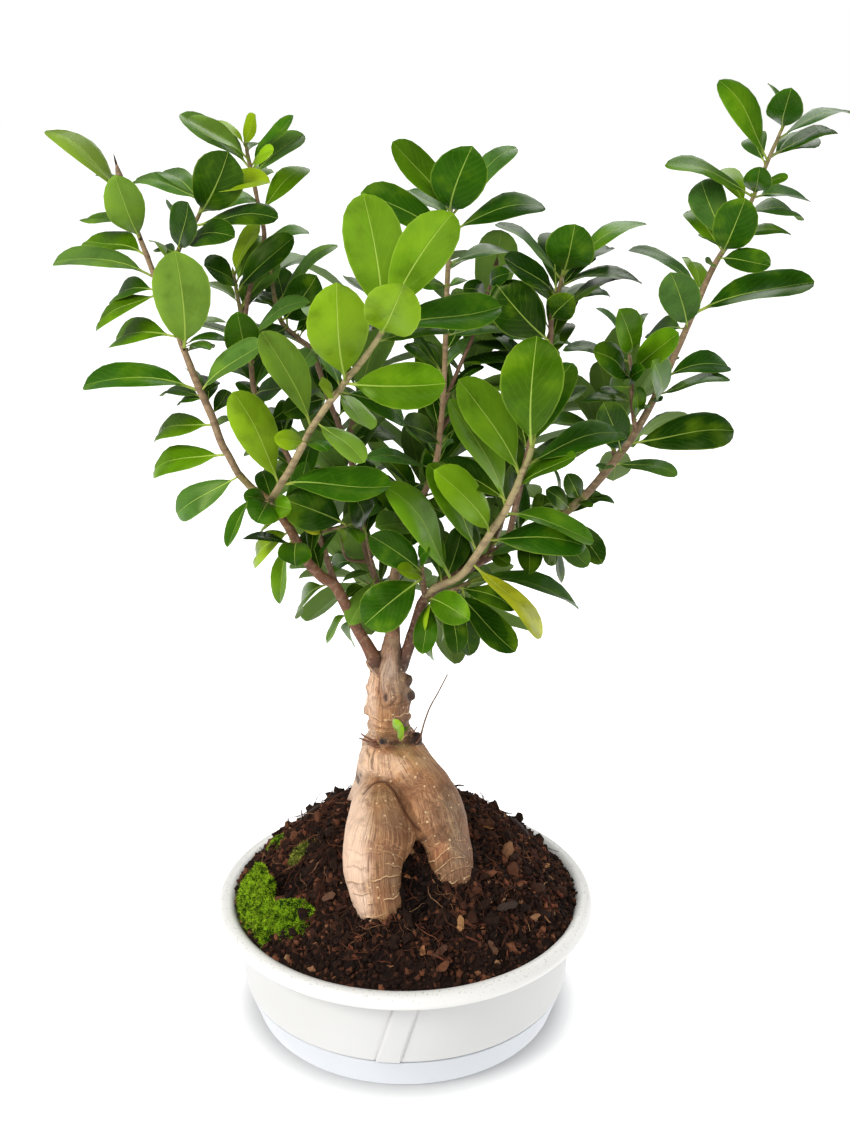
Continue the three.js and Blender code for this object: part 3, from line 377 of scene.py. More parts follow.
def lumps(points, size, seed):
    """Smooth random values from -1 to 1 at the points, in lumps of about that size."""
    spread = np.asarray(points, float) / size + seed * 17.3
    cell = np.floor(spread)
    inside = spread - cell
    inside = inside * inside * (3 - 2 * inside)
    total = np.zeros(len(spread))
    for corner in product((0, 1), repeat=3):
        mixed_up = np.sin((cell + corner) @ SCATTER) * SPREAD_OUT
        value = 2 * (mixed_up - np.floor(mixed_up)) - 1
        total += value * np.prod(np.where(corner, inside, 1 - inside), axis=1)
    return total


SOIL_RADIUS = 90.7
SOIL_FLOOR = 7.6
SOIL_EDGE_Z = 63.5
SOIL_MOUND = 53.5
SHOULDER_RADIUS = 90.0
# Hollows in the soil: middle x and y, radius and depth
HOLLOWS = [(-59, -26, 11, 9), (12, -62, 9, 3.5), (40, -30, 8, 3), (-18, -76, 7, 3), (4, -48, 9, 4)]


def soil_height(x, y):
    """The smooth mound's height over the ground, in millimetres."""
    return SOIL_EDGE_Z + SOIL_MOUND * (1 - (x * x + y * y) / SHOULDER_RADIUS ** 2)


def rough_height(x, y):
    """The mound's height with its clods and hollows."""
    x, y = np.atleast_1d(x).astype(float), np.atleast_1d(y).astype(float)
    spots = np.stack([x, y, 0 * x], axis=1)
    rough = 2.2 * lumps(spots, 14, 1) + 2.1 * lumps(spots, 6.5, 2) + 0.8 * lumps(spots, 2.6, 3)
    for middle_x, middle_y, radius, depth in HOLLOWS:
        rough -= depth * np.exp(-((x - middle_x) ** 2 + (y - middle_y) ** 2) / radius ** 2)
    edge = np.clip((SOIL_RADIUS - np.hypot(x, y)) / 5, 0, 1)
    return soil_height(x, y) + rough * edge + 1.2 * (1 - edge)


# The mound's profile starts in the middle of its underside; its top has rings from the wall to the middle
MOUND_RINGS = 64
MOUND_SIDES = 200

mound = [(0, SOIL_FLOOR), (72, SOIL_FLOOR), (78, 19.8), (83, 30), (88, 57), (90.2, 61.3)]
under_top = 1 + (len(mound) - 1) * MOUND_SIDES
mound += [(SOIL_RADIUS * (1 - k / MOUND_RINGS), 0) for k in range(MOUND_RINGS)]
mound_points, mound_faces = turned(mound, MOUND_SIDES)
mound_points = np.array(mound_points)
top = np.arange(len(mound_points)) >= under_top
mound_points[top, 2] = rough_height(mound_points[top, 0], mound_points[top, 1])
mound_faces.append(tuple(range(len(mound_points) - MOUND_SIDES, len(mound_points))))


def read(tree, name, field="Fac"):
    """What the mesh carries under that name."""
    return add(tree, "ShaderNodeAttribute", attribute_name=name).outputs[field]


def toned(tree, value, stops):
    """The value as a colour; each stop is a place from 0 to 1 and a hex code or colour, lowest first."""
    ramp = add(tree, "ShaderNodeValToRGB", {"Fac": value})
    stops = [(place, paint(colour) if isinstance(colour, str) else colour) for place, colour in stops]
    for end in (0, -1):
        ramp.color_ramp.elements[end].position, ramp.color_ramp.elements[end].color = stops[end]
    for place, colour in stops[1:-1]:
        ramp.color_ramp.elements.new(place).color = colour
    return ramp.outputs["Color"]


peat_finish, tree, shader = finish_of("dark_peat", "2b1d17", 0.95, Specular_IOR_Level=0.2)
peat = mottled(tree, "1f130e", "452a1d", 420.0, 0.8)
shades = toned(tree, read(tree, "tone"), [
    (0, "110906"), (0.5, "22140e"), (0.8, "4e2d1d"), (0.975, "8a563b"), (1, "b98d64")])
speckled = blended(tree, 0.65, peat["Color"], shades)
# Down in its gaps the peat is darker, partly damp and partly painted shade
spot = spot_of(tree)
flat = add(tree, "ShaderNodeVectorMath", {0: spot, 1: (1.0, 1.0, 0.0)}, operation="MULTIPLY").outputs[0]
off_axis = add(tree, "ShaderNodeVectorMath", {0: flat, 1: flat}, operation="DOT_PRODUCT").outputs["Value"]
drop = times(tree, off_axis, 1000 * SOIL_MOUND / SHOULDER_RADIUS ** 2)
smooth_top = figured(tree, "SUBTRACT", (SOIL_EDGE_Z + SOIL_MOUND) / 1000, drop)
above = figured(tree, "SUBTRACT", axis_of(tree, spot, "Z"), smooth_top)
damp_and_shaded = coated(tree, speckled, [(above, 0.0015, -0.0035, 0.85, "0d0705")])
dressed(tree, shader, damp_and_shaded, peat["Height"], 0.9, 0.0012)


def shape(name, points, faces, smooth=False):
    """A small shape to be strewn, kept out of the finished scene."""
    piece = mesh_piece(name, points, faces, None, smooth)
    bpy.context.scene.collection.objects.unlink(piece)
    return piece


def crumb(name, seed, flatness, fineness=1):
    """An irregular lump one millimetre across."""
    ball = bmesh.new()
    bmesh.ops.create_icosphere(ball, subdivisions=fineness, radius=0.5)
    corners = np.array([v.co for v in ball.verts])
    corners *= (1 + 0.6 * lumps(corners * 1.7, 0.5, seed))[:, None]
    corners *= np.array((1.25, 0.85, flatness))
    faces = [tuple(v.index for v in f.verts) for f in ball.faces]
    ball.free()
    return shape(name, corners, faces)


def strand(name, seed, length, thickness, curl):
    """A curled root fibre, three-sided, that tapers at both ends."""
    chance = random.Random(seed)
    heading, pitch, place = chance.uniform(0, math.tau), 0.0, Vector((0, 0, 0))
    steps, points = 7, []
    for k in range(steps + 1):
        width = thickness * (0.35 + 0.65 * math.sin(math.pi * (k + 0.4) / (steps + 0.8)))
        across = Vector((-math.sin(heading), math.cos(heading), 0))
        for turn in (90, 210, 330):
            turn = math.radians(turn)
            points.append(place + across * width * math.cos(turn) + Vector((0, 0, width * math.sin(turn))))
        heading += chance.uniform(-curl, curl)
        pitch = 0.5 * pitch + chance.uniform(-0.16, 0.14)
        place += Vector((math.cos(heading), math.sin(heading), pitch)) * length / steps
    faces = ring_faces(range(0, len(points), 3), 3)
    return shape(name, points, faces + [(2, 1, 0), (3 * steps, 3 * steps + 1, 3 * steps + 2)])


def splinter(name, seed):
    """A flat jagged chip of bark or wood, one millimetre long."""
    chance = random.Random(seed)
    around = sorted(chance.uniform(0, math.tau) for _ in range(7))
    ring = [(0.5 * math.cos(t), chance.uniform(0.1, 0.26) * math.sin(t)) for t in around]
    points = [(x, y, 0.06 + 0.08 * chance.random()) for x, y in ring] + [(x, y, -0.06) for x, y in ring]
    faces = [tuple(range(7)), tuple(range(13, 6, -1))]
    faces += [(k, k + 7, (k + 1) % 7 + 7, (k + 1) % 7) for k in range(7)]
    return shape(name, points, faces)


def tree_of(name, sizes):
    """A geometry node tree with named inputs for its sizes."""
    made = bpy.data.node_groups.new(name, "GeometryNodeTree")
    made.interface.new_socket("Geometry", in_out="INPUT", socket_type="NodeSocketGeometry")
    for label, kind in sizes:
        made.interface.new_socket(label, in_out="INPUT", socket_type="NodeSocket" + kind)
    made.interface.new_socket("Geometry", in_out="OUTPUT", socket_type="NodeSocketGeometry")
    return made


def grown(source, node_tree, name, values):
    """The source with the node tree applied, as a plain mesh piece; the source is removed."""
    modifier = source.modifiers.new(name, "NODES")
    modifier.node_group = node_tree
    for item in node_tree.interface.items_tree:
        if item.in_out == "INPUT" and item.name in values:
            modifier[item.identifier] = values[item.name]
    seen_by = bpy.context.evaluated_depsgraph_get()
    mesh = bpy.data.meshes.new_from_object(source.evaluated_get(seen_by))
    bpy.data.objects.remove(source)
    return shown(name, mesh)


def carried(tree, name, kind="FLOAT"):
    """What the points of the mesh in a geometry tree carry under that name."""
    return add(tree, "GeometryNodeInputNamedAttribute", {"Name": name}, data_type=kind).outputs["Attribute"]


def set_on(tree, spots, shapes, picked, turns, sizes):
    """One of the shapes set on each spot with its own turn and size."""
    kinds = add(tree, "GeometryNodeCollectionInfo", {
        "Collection": shapes, "Separate Children": True, "Reset Children": True}).outputs[0]
    return add(tree, "GeometryNodeInstanceOnPoints", {
        "Points": spots, "Instance": kinds, "Pick Instance": True, "Instance Index": picked,
        "Rotation": turns, "Scale": sizes}).outputs[0]


def scaled(tree, vector, length):
    """A vector times a value."""
    return add(tree, "ShaderNodeVectorMath", {0: vector, "Scale": length}, operation="SCALE").outputs[0]


def finished(tree, geometry, finish):
    """The geometry with that finish."""
    return add(tree, "GeometryNodeSetMaterial", {"Geometry": geometry, "Material": finish}).outputs[0]


def joined(tree, parts):
    """The parts as one geometry."""
    both = add(tree, "GeometryNodeJoinGeometry")
    for part in parts:
        tree.links.new(part, both.inputs[0])
    return both.outputs[0]


# Strews shapes over a surface: each lies along it or leans, and has its own size, turn and tone
strewing = tree_of("strewing", [
    ("Shapes", "Collection"), ("How Many", "Float"), ("Smallest", "Float"), ("Largest", "Float"),
    ("Lean", "Float"), ("Sink", "Float"), ("Seed", "Int"), ("Finish", "Material"),
    ("Keep Surface", "Bool")])
into = add(strewing, "NodeGroupInput").outputs
spots = add(strewing, "GeometryNodeDistributePointsOnFaces", {
    "Mesh": into["Geometry"], "Density": times(strewing, into["How Many"], carried(strewing, "cover")),
    "Seed": into["Seed"]}).outputs
sunk = add(strewing, "GeometryNodeSetPosition", {
    "Geometry": spots["Points"], "Offset": scaled(strewing, spots["Normal"], into["Sink"])})
upright = add(strewing, "FunctionNodeAlignRotationToVector", {"Vector": spots["Normal"]}, axis="Z")
least = times(strewing, into["Lean"], -1.0)
low = add(strewing, "ShaderNodeCombineXYZ", {"X": least, "Y": least, "Z": -math.pi})
high = add(strewing, "ShaderNodeCombineXYZ", {"X": into["Lean"], "Y": into["Lean"], "Z": math.pi})
turns = add(strewing, "FunctionNodeRandomValue", {
    0: low.outputs[0], 1: high.outputs[0], "Seed": into["Seed"]}, data_type="FLOAT_VECTOR")
leaning = add(strewing, "FunctionNodeEulerToRotation", {0: turns.outputs[0]})
turned_too = add(strewing, "FunctionNodeRotateRotation", {
    0: upright.outputs[0], 1: leaning.outputs[0]}, rotation_space="LOCAL")
sizes = add(strewing, "FunctionNodeRandomValue", {
    2: into["Smallest"], 3: into["Largest"], "Seed": 11}, data_type="FLOAT")
pick = add(strewing, "FunctionNodeRandomValue", {4: 0, 5: 100, "Seed": 5}, data_type="INT")
laid = set_on(
    strewing, sunk.outputs[0], into["Shapes"], pick.outputs[2], turned_too.outputs[0], sizes.outputs[1])
shade = add(strewing, "FunctionNodeRandomValue", {"Seed": 23}, data_type="FLOAT")
with_tone = add(strewing, "GeometryNodeStoreNamedAttribute", {
    "Geometry": laid, "Name": "tone", "Value": shade.outputs[1]}, data_type="FLOAT", domain="INSTANCE")
real = add(strewing, "GeometryNodeRealizeInstances", {0: with_tone.outputs[0]})
under = add(strewing, "GeometryNodeSwitch", {
    "Switch": into["Keep Surface"], "True": into["Geometry"]}, input_type="GEOMETRY")
both = joined(strewing, [real.outputs[0], under.outputs[0]])
add(strewing, "NodeGroupOutput", {"Geometry": finished(strewing, both, into["Finish"])})


def strewn(ground, name, shapes, how_many, smallest, largest, lean, sink, seed, finish, keep=False):
    """The ground strewn with that many shapes per square metre; keep leaves the ground under them."""
    return grown(ground, strewing, name, {
        "Shapes": shapes, "How Many": how_many, "Smallest": smallest, "Largest": largest, "Lean": lean,
        "Sink": sink, "Seed": seed, "Finish": finish, "Keep Surface": keep})


def collected(name, shapes):
    """Shapes gathered for strewing."""
    gathered = bpy.data.collections.new(name)
    for piece in shapes:
        gathered.objects.link(piece)
    return gathered


def marked(mesh, name, kind, values, domain="POINT"):
    """Writes what each point, edge or face of the mesh carries under that name."""
    field = {"FLOAT_VECTOR": "vector", "FLOAT_COLOR": "color"}.get(kind, "value")
    number = {"BOOLEAN": bool, "INT": np.int32}.get(kind, np.float32)
    mesh.attributes.new(name, kind, domain).data.foreach_set(field, np.array(values, number).ravel())


def soil_ground(name, lift, edge):
    """The mound's surface, for its crumbs and fibres, raised by lift; they stay inside the radius edge."""
    ground = mound_points.copy()
    ground[:, 2] += lift
    surface = mesh_piece(name, ground, mound_faces, peat_finish)
    inside = np.clip((edge - np.hypot(ground[:, 0], ground[:, 1])) / 2, 0, 1)
    marked(surface.data, "cover", "FLOAT", top * inside)
    return surface


crumbs = collected("crumbs", [crumb(f"crumb_{k}", k + 3, 0.45 + 0.1 * k) for k in range(6)])
settle(strewn(
    soil_ground("mound", 0.0, 91.5), "soil_mound", crumbs,
    230000.0, 0.7, 4.6, 3.1, 0.0002, 4, peat_finish, True), "soil", "potting_soil")

clods = collected("clods", [crumb(f"clod_{k}", k + 21, 0.6, 2) for k in range(5)])
settle(strewn(
    soil_ground("clod_ground", 0.6, 86.0), "soil_clods", clods,
    7000.0, 3.5, 9.5, 3.1, 0.0002, 31, peat_finish), "soil")

fibre_finish, tree, shader = finish_of("root_fibre", "5a3826", 0.85, Specular_IOR_Level=0.25)
shades = toned(tree, read(tree, "tone"), [(0, "331a11"), (0.5, "5f3220"), (0.9, "8e5636"), (1, "c79a6c")])
dull = noise(tree, spot_of(tree), 500.0)
dressed(tree, shader, blended(tree, dull, shades, "2e1b13"), dull, 0.5, 0.0004)
fibres = []
for k in range(5):
    fibres.append(strand(f"fibre_{k}", k + 1, 6 + 3 * k, 0.18 + 0.07 * (k % 3), 0.8))
settle(strewn(
    soil_ground("fibre_ground", 1.1, 82.0), "soil_fibres", collected("fibres", fibres),
    70000.0, 0.45, 1.15, 0.2, 0.0002, 9, fibre_finish), "soil")

flake_finish, tree, shader = finish_of("bark_flakes", "3c2a20", 0.9, Specular_IOR_Level=0.25)
shades = toned(tree, read(tree, "tone"), [(0, "22120b"), (0.6, "532c1d"), (0.95, "874d34"), (1, "c9955f")])
grainy = mottled(tree, "ffffff", "8a8078", 350.0, 0.9)
grained = blended(tree, 1.0, shades, grainy["Color"], "MULTIPLY")
dressed(tree, shader, grained, grainy["Height"], 0.7, 0.0006)
flakes = collected("flakes", [splinter(f"flake_{k}", k + 7) for k in range(5)] + [
    strand(f"sliver_{k}", k + 60, 1.35, 0.095, 0.32) for k in range(3)])
settle(strewn(
    soil_ground("flake_ground", 1.2, 85.0), "soil_flakes", flakes,
    30000.0, 1.2, 7.5, 0.7, 0.0004, 15, flake_finish), "chips")


# Moss
# Four cushions of living moss on the left of the soil: two thick bright ones against the rim, a small tuft
# and an olive one by the roots. Each is a low dome closed with short leafy stems, which grew there.

# Rows of x, y, half length, half width, height, turn in degrees, and the deep and the bright green
MOSS_CUSHIONS = {
    "rim_cushion": (-78, -25, 29, 10, 9, 107, "1f3c05", "b0d92c"),
    "inner_cushion": (-60, -49.5, 16, 6.5, 8, 145, "1f3c05", "a6cf28"),
    "small_tuft": (-71, 16, 8, 5, 5, 105, "243f08", "9cc62c"),
    "olive_tuft": (-53, -14, 7, 4.5, 4, 20, "4a521c", "a3ab4a"),
}
# The moss ends at the pot's inner wall
MOSS_REACH = 89.6


def moss_sprig(name, seed):
    """A tuft of narrow pointed leaflets, two millimetres wide."""
    chance = random.Random(seed)
    points, faces = [], []
    for k in range(7):
        turn = k * 2.4 + chance.uniform(-0.3, 0.3)
        reach, rise = chance.uniform(0.55, 1.1), chance.uniform(0.5, 1.3)
        out = Vector((math.cos(turn), math.sin(turn), 0))
        across = Vector((-out.y, out.x, 0)) * 0.17
        foot = out * 0.12
        first = len(points)
        points += [foot + across, foot - across, foot + out * 0.2 + Vector((0, 0, 0.35))]
        points.append(out * reach + Vector((0, 0, rise)))
        for corners in ((0, 1, 2), (0, 3, 1), (1, 3, 2), (2, 3, 0)):
            faces.append(tuple(first + c for c in corners))
    return shape(name, points, faces)


def cushion_dome(name, x, y, half_length, half_width, height, degrees):
    """A closed lumpy dome that follows the soil under it."""
    turn, rings, segments = math.radians(degrees), 14, 44
    points = []
    for r in range(rings + 1):
        share = r / rings
        for k in range(segments):
            around = math.tau * k / segments
            reach = share * (1 + 0.14 * math.sin(3 * around + x) + 0.08 * math.sin(7 * around + y))
            along, across = half_length * reach * math.cos(around), half_width * reach * math.sin(around)
            px = x + along * math.cos(turn) - across * math.sin(turn)
            py = y + along * math.sin(turn) + across * math.cos(turn)
            inward = min(1.0, MOSS_REACH / math.hypot(px, py))
            rise = height * 0.92 * math.sqrt(max(0.0, 1 - share ** 2)) - 0.6
            points.append((px * inward, py * inward, soil_height(px * inward, py * inward) + rise))
    points = np.array(points)
    points[:, 2] += (2.8 * lumps(points, 6.0, 31) + 1.3 * lumps(points, 2.8, 32)) * (points[:, 2] > 40)
    underside = tuple(range(rings * segments, (rings + 1) * segments))
    return mesh_piece(name, points, [underside] + ring_faces(range(0, len(points), segments), segments))


sprigs = collected("moss_sprigs", [moss_sprig(f"sprig_{k}", k + 40) for k in range(4)])
for name, (*sizes, deep, bright) in MOSS_CUSHIONS.items():
    moss_finish, tree, shader = finish_of("moss_" + name, bright, 0.85, Specular_IOR_Level=0.1)
    patches = noise(tree, spot_of(tree), 170.0, 4.0)
    lively = ranged(tree, figured(tree, "ADD", patches, read(tree, "tone")), 0.7, 1.3)
    dressed(tree, shader, blended(tree, lively, deep, bright), patches, 0.6, 0.0006)
    dome = cushion_dome("dome_" + name, *sizes)
    marked(dome.data, "cover", "FLOAT", [1.0] * len(dome.data.vertices))
    settle(strewn(
        dome, "leafy_moss_" + name, sprigs,
        1150000.0, 0.9, 1.9, 0.55, -0.0003, 8, moss_finish, True), "moss", "moss_" + name)


# Bark chips
# Eight larger chips of dry bark and pale wood lying loose on the soil. Each is split along its grain, with
# ragged ends and a layered edge.

# Rows of x, y, length, width, thickness, turn in degrees, and colour
CHIPS = [
    (28, -66, 8, 3.4, 1.6, 100, "b58250"), (18, -78, 9, 3.2, 1.8, 60, "5e3824"),
    (-38, -52, 8, 4, 1.6, 10, "6b4730"), (52, -50, 14, 4, 2, 30, "3c271b"),
    (-52, 22, 17, 5, 2.2, 35, "3c271d"), (62, 18, 15, 6, 2.6, -30, "36221a"),
    (-38, 40, 16, 4, 2.2, 15, "402a1e"), (44, -70, 8, 3, 1.6, -50, "644028")]
# The chips lean a little more than the mound does where they lie
CHIP_LEAN = 114


def bark_chip(name, row, seed, material):
    """A split chip lying on the mound; its points carry their place along and across the grain."""
    x, y, length, width, thickness, degrees, _ = row
    chance = random.Random(seed)
    stations, ring, points, faces = 13, 10, [], []
    for s in range(stations):
        share = s / (stations - 1)
        taper = min(1.0, 4.5 * share + 0.25, 4.5 * (1 - share) + 0.25) * (1 + chance.uniform(-0.14, 0.1))
        bow = 0.05 * length * math.sin(math.pi * share)
        for k in range(ring):
            turn = math.tau * k / ring
            edge = 1 + chance.uniform(-0.16, 0.16)
            sideways, upward = math.cos(turn), math.sin(turn)
            across = 0.5 * width * taper * edge * math.copysign(abs(sideways) ** 0.6, sideways)
            rise = 0.5 * thickness * taper * edge * math.copysign(abs(upward) ** 0.7, upward)
            points.append((length * (share - 0.5), across, rise + bow * 0.3))
    for s in range(stations - 1):
        for k in range(ring):
            a, b = s * ring, (s + 1) * ring
            faces.append((a + k, b + k, b + (k + 1) % ring, a + (k + 1) % ring))
    faces += [tuple(range(ring)), tuple(range(stations * ring - 1, (stations - 1) * ring - 1, -1))]
    lean = [CHIP_LEAN * c / SHOULDER_RADIUS ** 2 for c in (x, y)]
    up = Vector((*lean, 1)).normalized()
    along = Vector((math.cos(math.radians(degrees)), math.sin(math.radians(degrees)), 0))
    along = (along - up * along.dot(up)).normalized()
    turn = Matrix((along, up.cross(along), up)).transposed()
    middle = Vector((x, y, soil_height(x, y) + thickness / 2 + 1.8))
    piece = mesh_piece(name, [turn @ Vector(p) + middle for p in points], faces, material, False)
    marked(piece.data, "grain", "FLOAT_VECTOR", points)
    return piece


def streaks(tree, place, scale, detail, rough=0.5):
    """Noise stretched differently along each axis."""
    stretched = add(tree, "ShaderNodeMapping", {"Vector": place, "Scale": scale}).outputs["Vector"]
    return noise(tree, stretched, 1.0, detail, rough)


for k, row in enumerate(CHIPS):
    chip_finish, tree, shader = finish_of(f"chip_{k + 1}", row[6], 0.85)
    lines = streaks(tree, read(tree, "grain", "Vector"), (0.25, 2.6, 2.6), 4.0)
    shades = toned(tree, lines, [(0.32, paint(row[6], 0.45)), (0.6, row[6])])
    dressed(tree, shader, shades, lines, 0.8, 0.0006)
    settle(bark_chip(f"split_chip_{k + 1}", row, 60 + k, chip_finish), "chips", f"bark_chip_{k + 1}")


# Rootstock
# The swollen root and trunk of the ficus: two thick legs under one shoulder, two smaller roots behind, and
# a short neck with the graft's ring and old cut stubs. It grew as one piece, and its thin bark is tan.
def seen(rows):
    """Real places of rows that start with x and z on the plane y = 0 as seen from the front, then depth."""
    rows = np.asarray(rows, float)
    plane = np.stack([rows[:, 0], np.zeros(len(rows)), rows[:, 1]], axis=1)
    return VIEWPOINT + (plane - VIEWPOINT) * (1 + rows[:, 2:3] / EYE_AWAY)


def through(rows, steps):
    """A smooth run of rows through the given ones, with that many steps between two."""
    rows = np.asarray(rows, float)
    ends = np.vstack([2 * rows[0] - rows[1], rows, 2 * rows[-1] - rows[-2]])
    run = []
    for k in range(1, len(ends) - 2):
        a, b, c, d = ends[k - 1:k + 3]
        for s in np.arange(0, 1, 1 / steps):
            bend = (2 * a - 5 * b + 4 * c - d) * s * s + (3 * b - a - 3 * c + d) * s ** 3
            run.append(0.5 * (2 * b + (c - a) * s + bend))
    return np.vstack(run + [rows[-1:]])


def tube(path, sides):
    """Points and faces of a closed tube along rows of x, y, z and radius, with rounded ends."""
    path = np.array(path)
    tangents = [t / np.linalg.norm(t) for t in np.gradient(path[:, :3], axis=0)]
    rings = [(row[:3], along, row[3]) for row, along in zip(path, tangents)]
    (first, first_way, first_radius), (last, last_way, last_radius) = rings[0], rings[-1]
    for turn in (28, 55, 80):
        rise, shrunk = math.sin(math.radians(turn)), math.cos(math.radians(turn))
        rings.insert(0, (first - first_way * first_radius * rise, first_way, first_radius * shrunk))
        rings.append((last + last_way * last_radius * rise, last_way, last_radius * shrunk))
    side, points = np.array((1.0, 0.0, 0.0)), []
    for middle, along, radius in rings:
        side = side - along * side.dot(along)
        side /= np.linalg.norm(side)
        over = np.cross(side, along)
        for k in range(sides):
            turn = math.tau * k / sides
            points.append(middle + radius * (side * math.cos(turn) + over * math.sin(turn)))
    faces = ring_faces(range(0, len(points), sides), sides)
    faces += [tuple(range(sides)), tuple(range(len(points) - 1, len(points) - sides - 1, -1))]
    return points, faces


# Rows of x and z as seen from the front, depth, and radius
ROOT_LIMBS = {
    "shoulder": [
        (-10, 144, -2, 14), (-5, 140.5, -6, 14.6), (1, 136, -9, 14.6), (7, 130, -12, 14)],
    "neck": [
        (-5.8, 226, 4, 3.7), (-6, 214, 2.5, 4.1), (-6.4, 205, 2, 4.9), (-7.2, 198, 1, 6.8),
        (-8.6, 190, 1, 9.6), (-8.3, 182, 1, 11.2), (-8.5, 174, 1, 11.4), (-8.4, 165, 1, 10.2),
        (-8.4, 158, 1, 11.4), (-7, 151, 1, 14.6), (-6.8, 144, 1, 17.4), (-7.6, 136, 3, 17.4),
        (-8.6, 126, 6, 14)],
    "left_leg": [
        (-12.5, 131, -2, 10), (-13.2, 125.5, -9, 11.6), (-13.8, 119, -18, 13.4), (-14.4, 111, -27, 14.8),
        (-14.5, 100, -36, 16.4), (-16.8, 88, -43, 15.9), (-17.5, 77, -48.5, 14.8), (-16.5, 67, -52, 13.6),
        (-15, 58, -53.5, 13.3), (-13.6, 48, -53, 13), (-12.8, 36, -52, 12.4)],
    "web": [
        (-7, 113, -22, 11.5), (-2.5, 102, -32, 9.2), (-4.5, 93, -38, 8.4), (-9, 84, -42, 8)],
    "right_leg": [
        (-1, 150, 0, 9.5), (3.5, 139, -6, 11.6), (9.5, 127, -13, 13.8), (16, 114, -20, 14.2),
        (19.8, 104, -27, 13.1), (21.6, 96, -31, 12.3), (23.5, 86, -36, 11.7), (24.9, 78, -38.5, 11),
        (25.6, 71, -39, 10.4), (26.2, 60, -39, 8)],
    "inner_edge": [
        (-2, 131, -8, 8), (4, 124, -15, 8.5), (9.5, 115.5, -22, 10), (14, 107, -28, 10.8),
        (17, 99, -32, 10.4)],
    "rear_left_root": [
        (-11, 140, 4, 14), (-15, 126, 12, 13), (-21, 112, 24, 11), (-26, 97, 36, 8)],
    "rear_right_root": [
        (2, 134, 6, 14), (12, 118, 20, 11.5), (20, 103, 33, 8)],
}
# Where each limb's rings start to count, in millimetres of its run
RUN_STARTS = {
    "shoulder": 48.0, "neck": 0.0, "left_leg": 66.0, "web": 90.0, "right_leg": 52.0, "inner_edge": 76.0,
    "rear_left_root": 60.0, "rear_right_root": 62.0}
ROOT_KNOBS = [
    (2.4, 179, 0, 3.3), (1.2, 187.5, 0, 3.2), (-10, 152.5, -12.5, 4.4), (5.6, 154.5, -4, 3.6),
    (-18, 153, -3, 3.4), (-20.2, 169.6, 0, 1.8), (-19.4, 171.6, 0, 2.2), (-18.6, 174, 0, 2),
    (-18.4, 184, 0, 1.8), (-15.5, 197, 1, 4.2), (-14.8, 201, 1, 3.2), (-2.5, 177, -9, 2.2),
    (-23.2, 133, 4, 3.2)]
LIP_LINE = [
    (-25, 119, -10), (-22.5, 125, -12), (-18, 129.5, -15), (-13, 131.3, -17), (-8, 130, -18),
    (-4, 125.5, -20)]
LIP_THICKNESS = 1.4
# Rows of x and z as seen from the front
SEAM_LINE = [
    (-22.6, 122.6), (-18, 128), (-13, 129.8), (-8.6, 128.2), (-4.6, 123), (-1.6, 117), (1.4, 111),
    (4.6, 105), (7.4, 99.5)]
NECK_GROOVE = [
    (-13.6, 197), (-13.2, 192), (-13.3, 187), (-13, 176), (-11.2, 172), (-7, 172.8), (-4.6, 177),
    (-5.6, 182)]
# The ring where the crown was grafted on, and folds of bark above it: height, radius, thickness and tilt
NECK_RINGS = [(151.5, 12.6, 2.6, 0.06), (161.5, 10.4, 1.5, -0.05), (166, 10.1, 1.2, 0.03)]
NECK_RING_STEPS = 40
VOXEL = 0.85
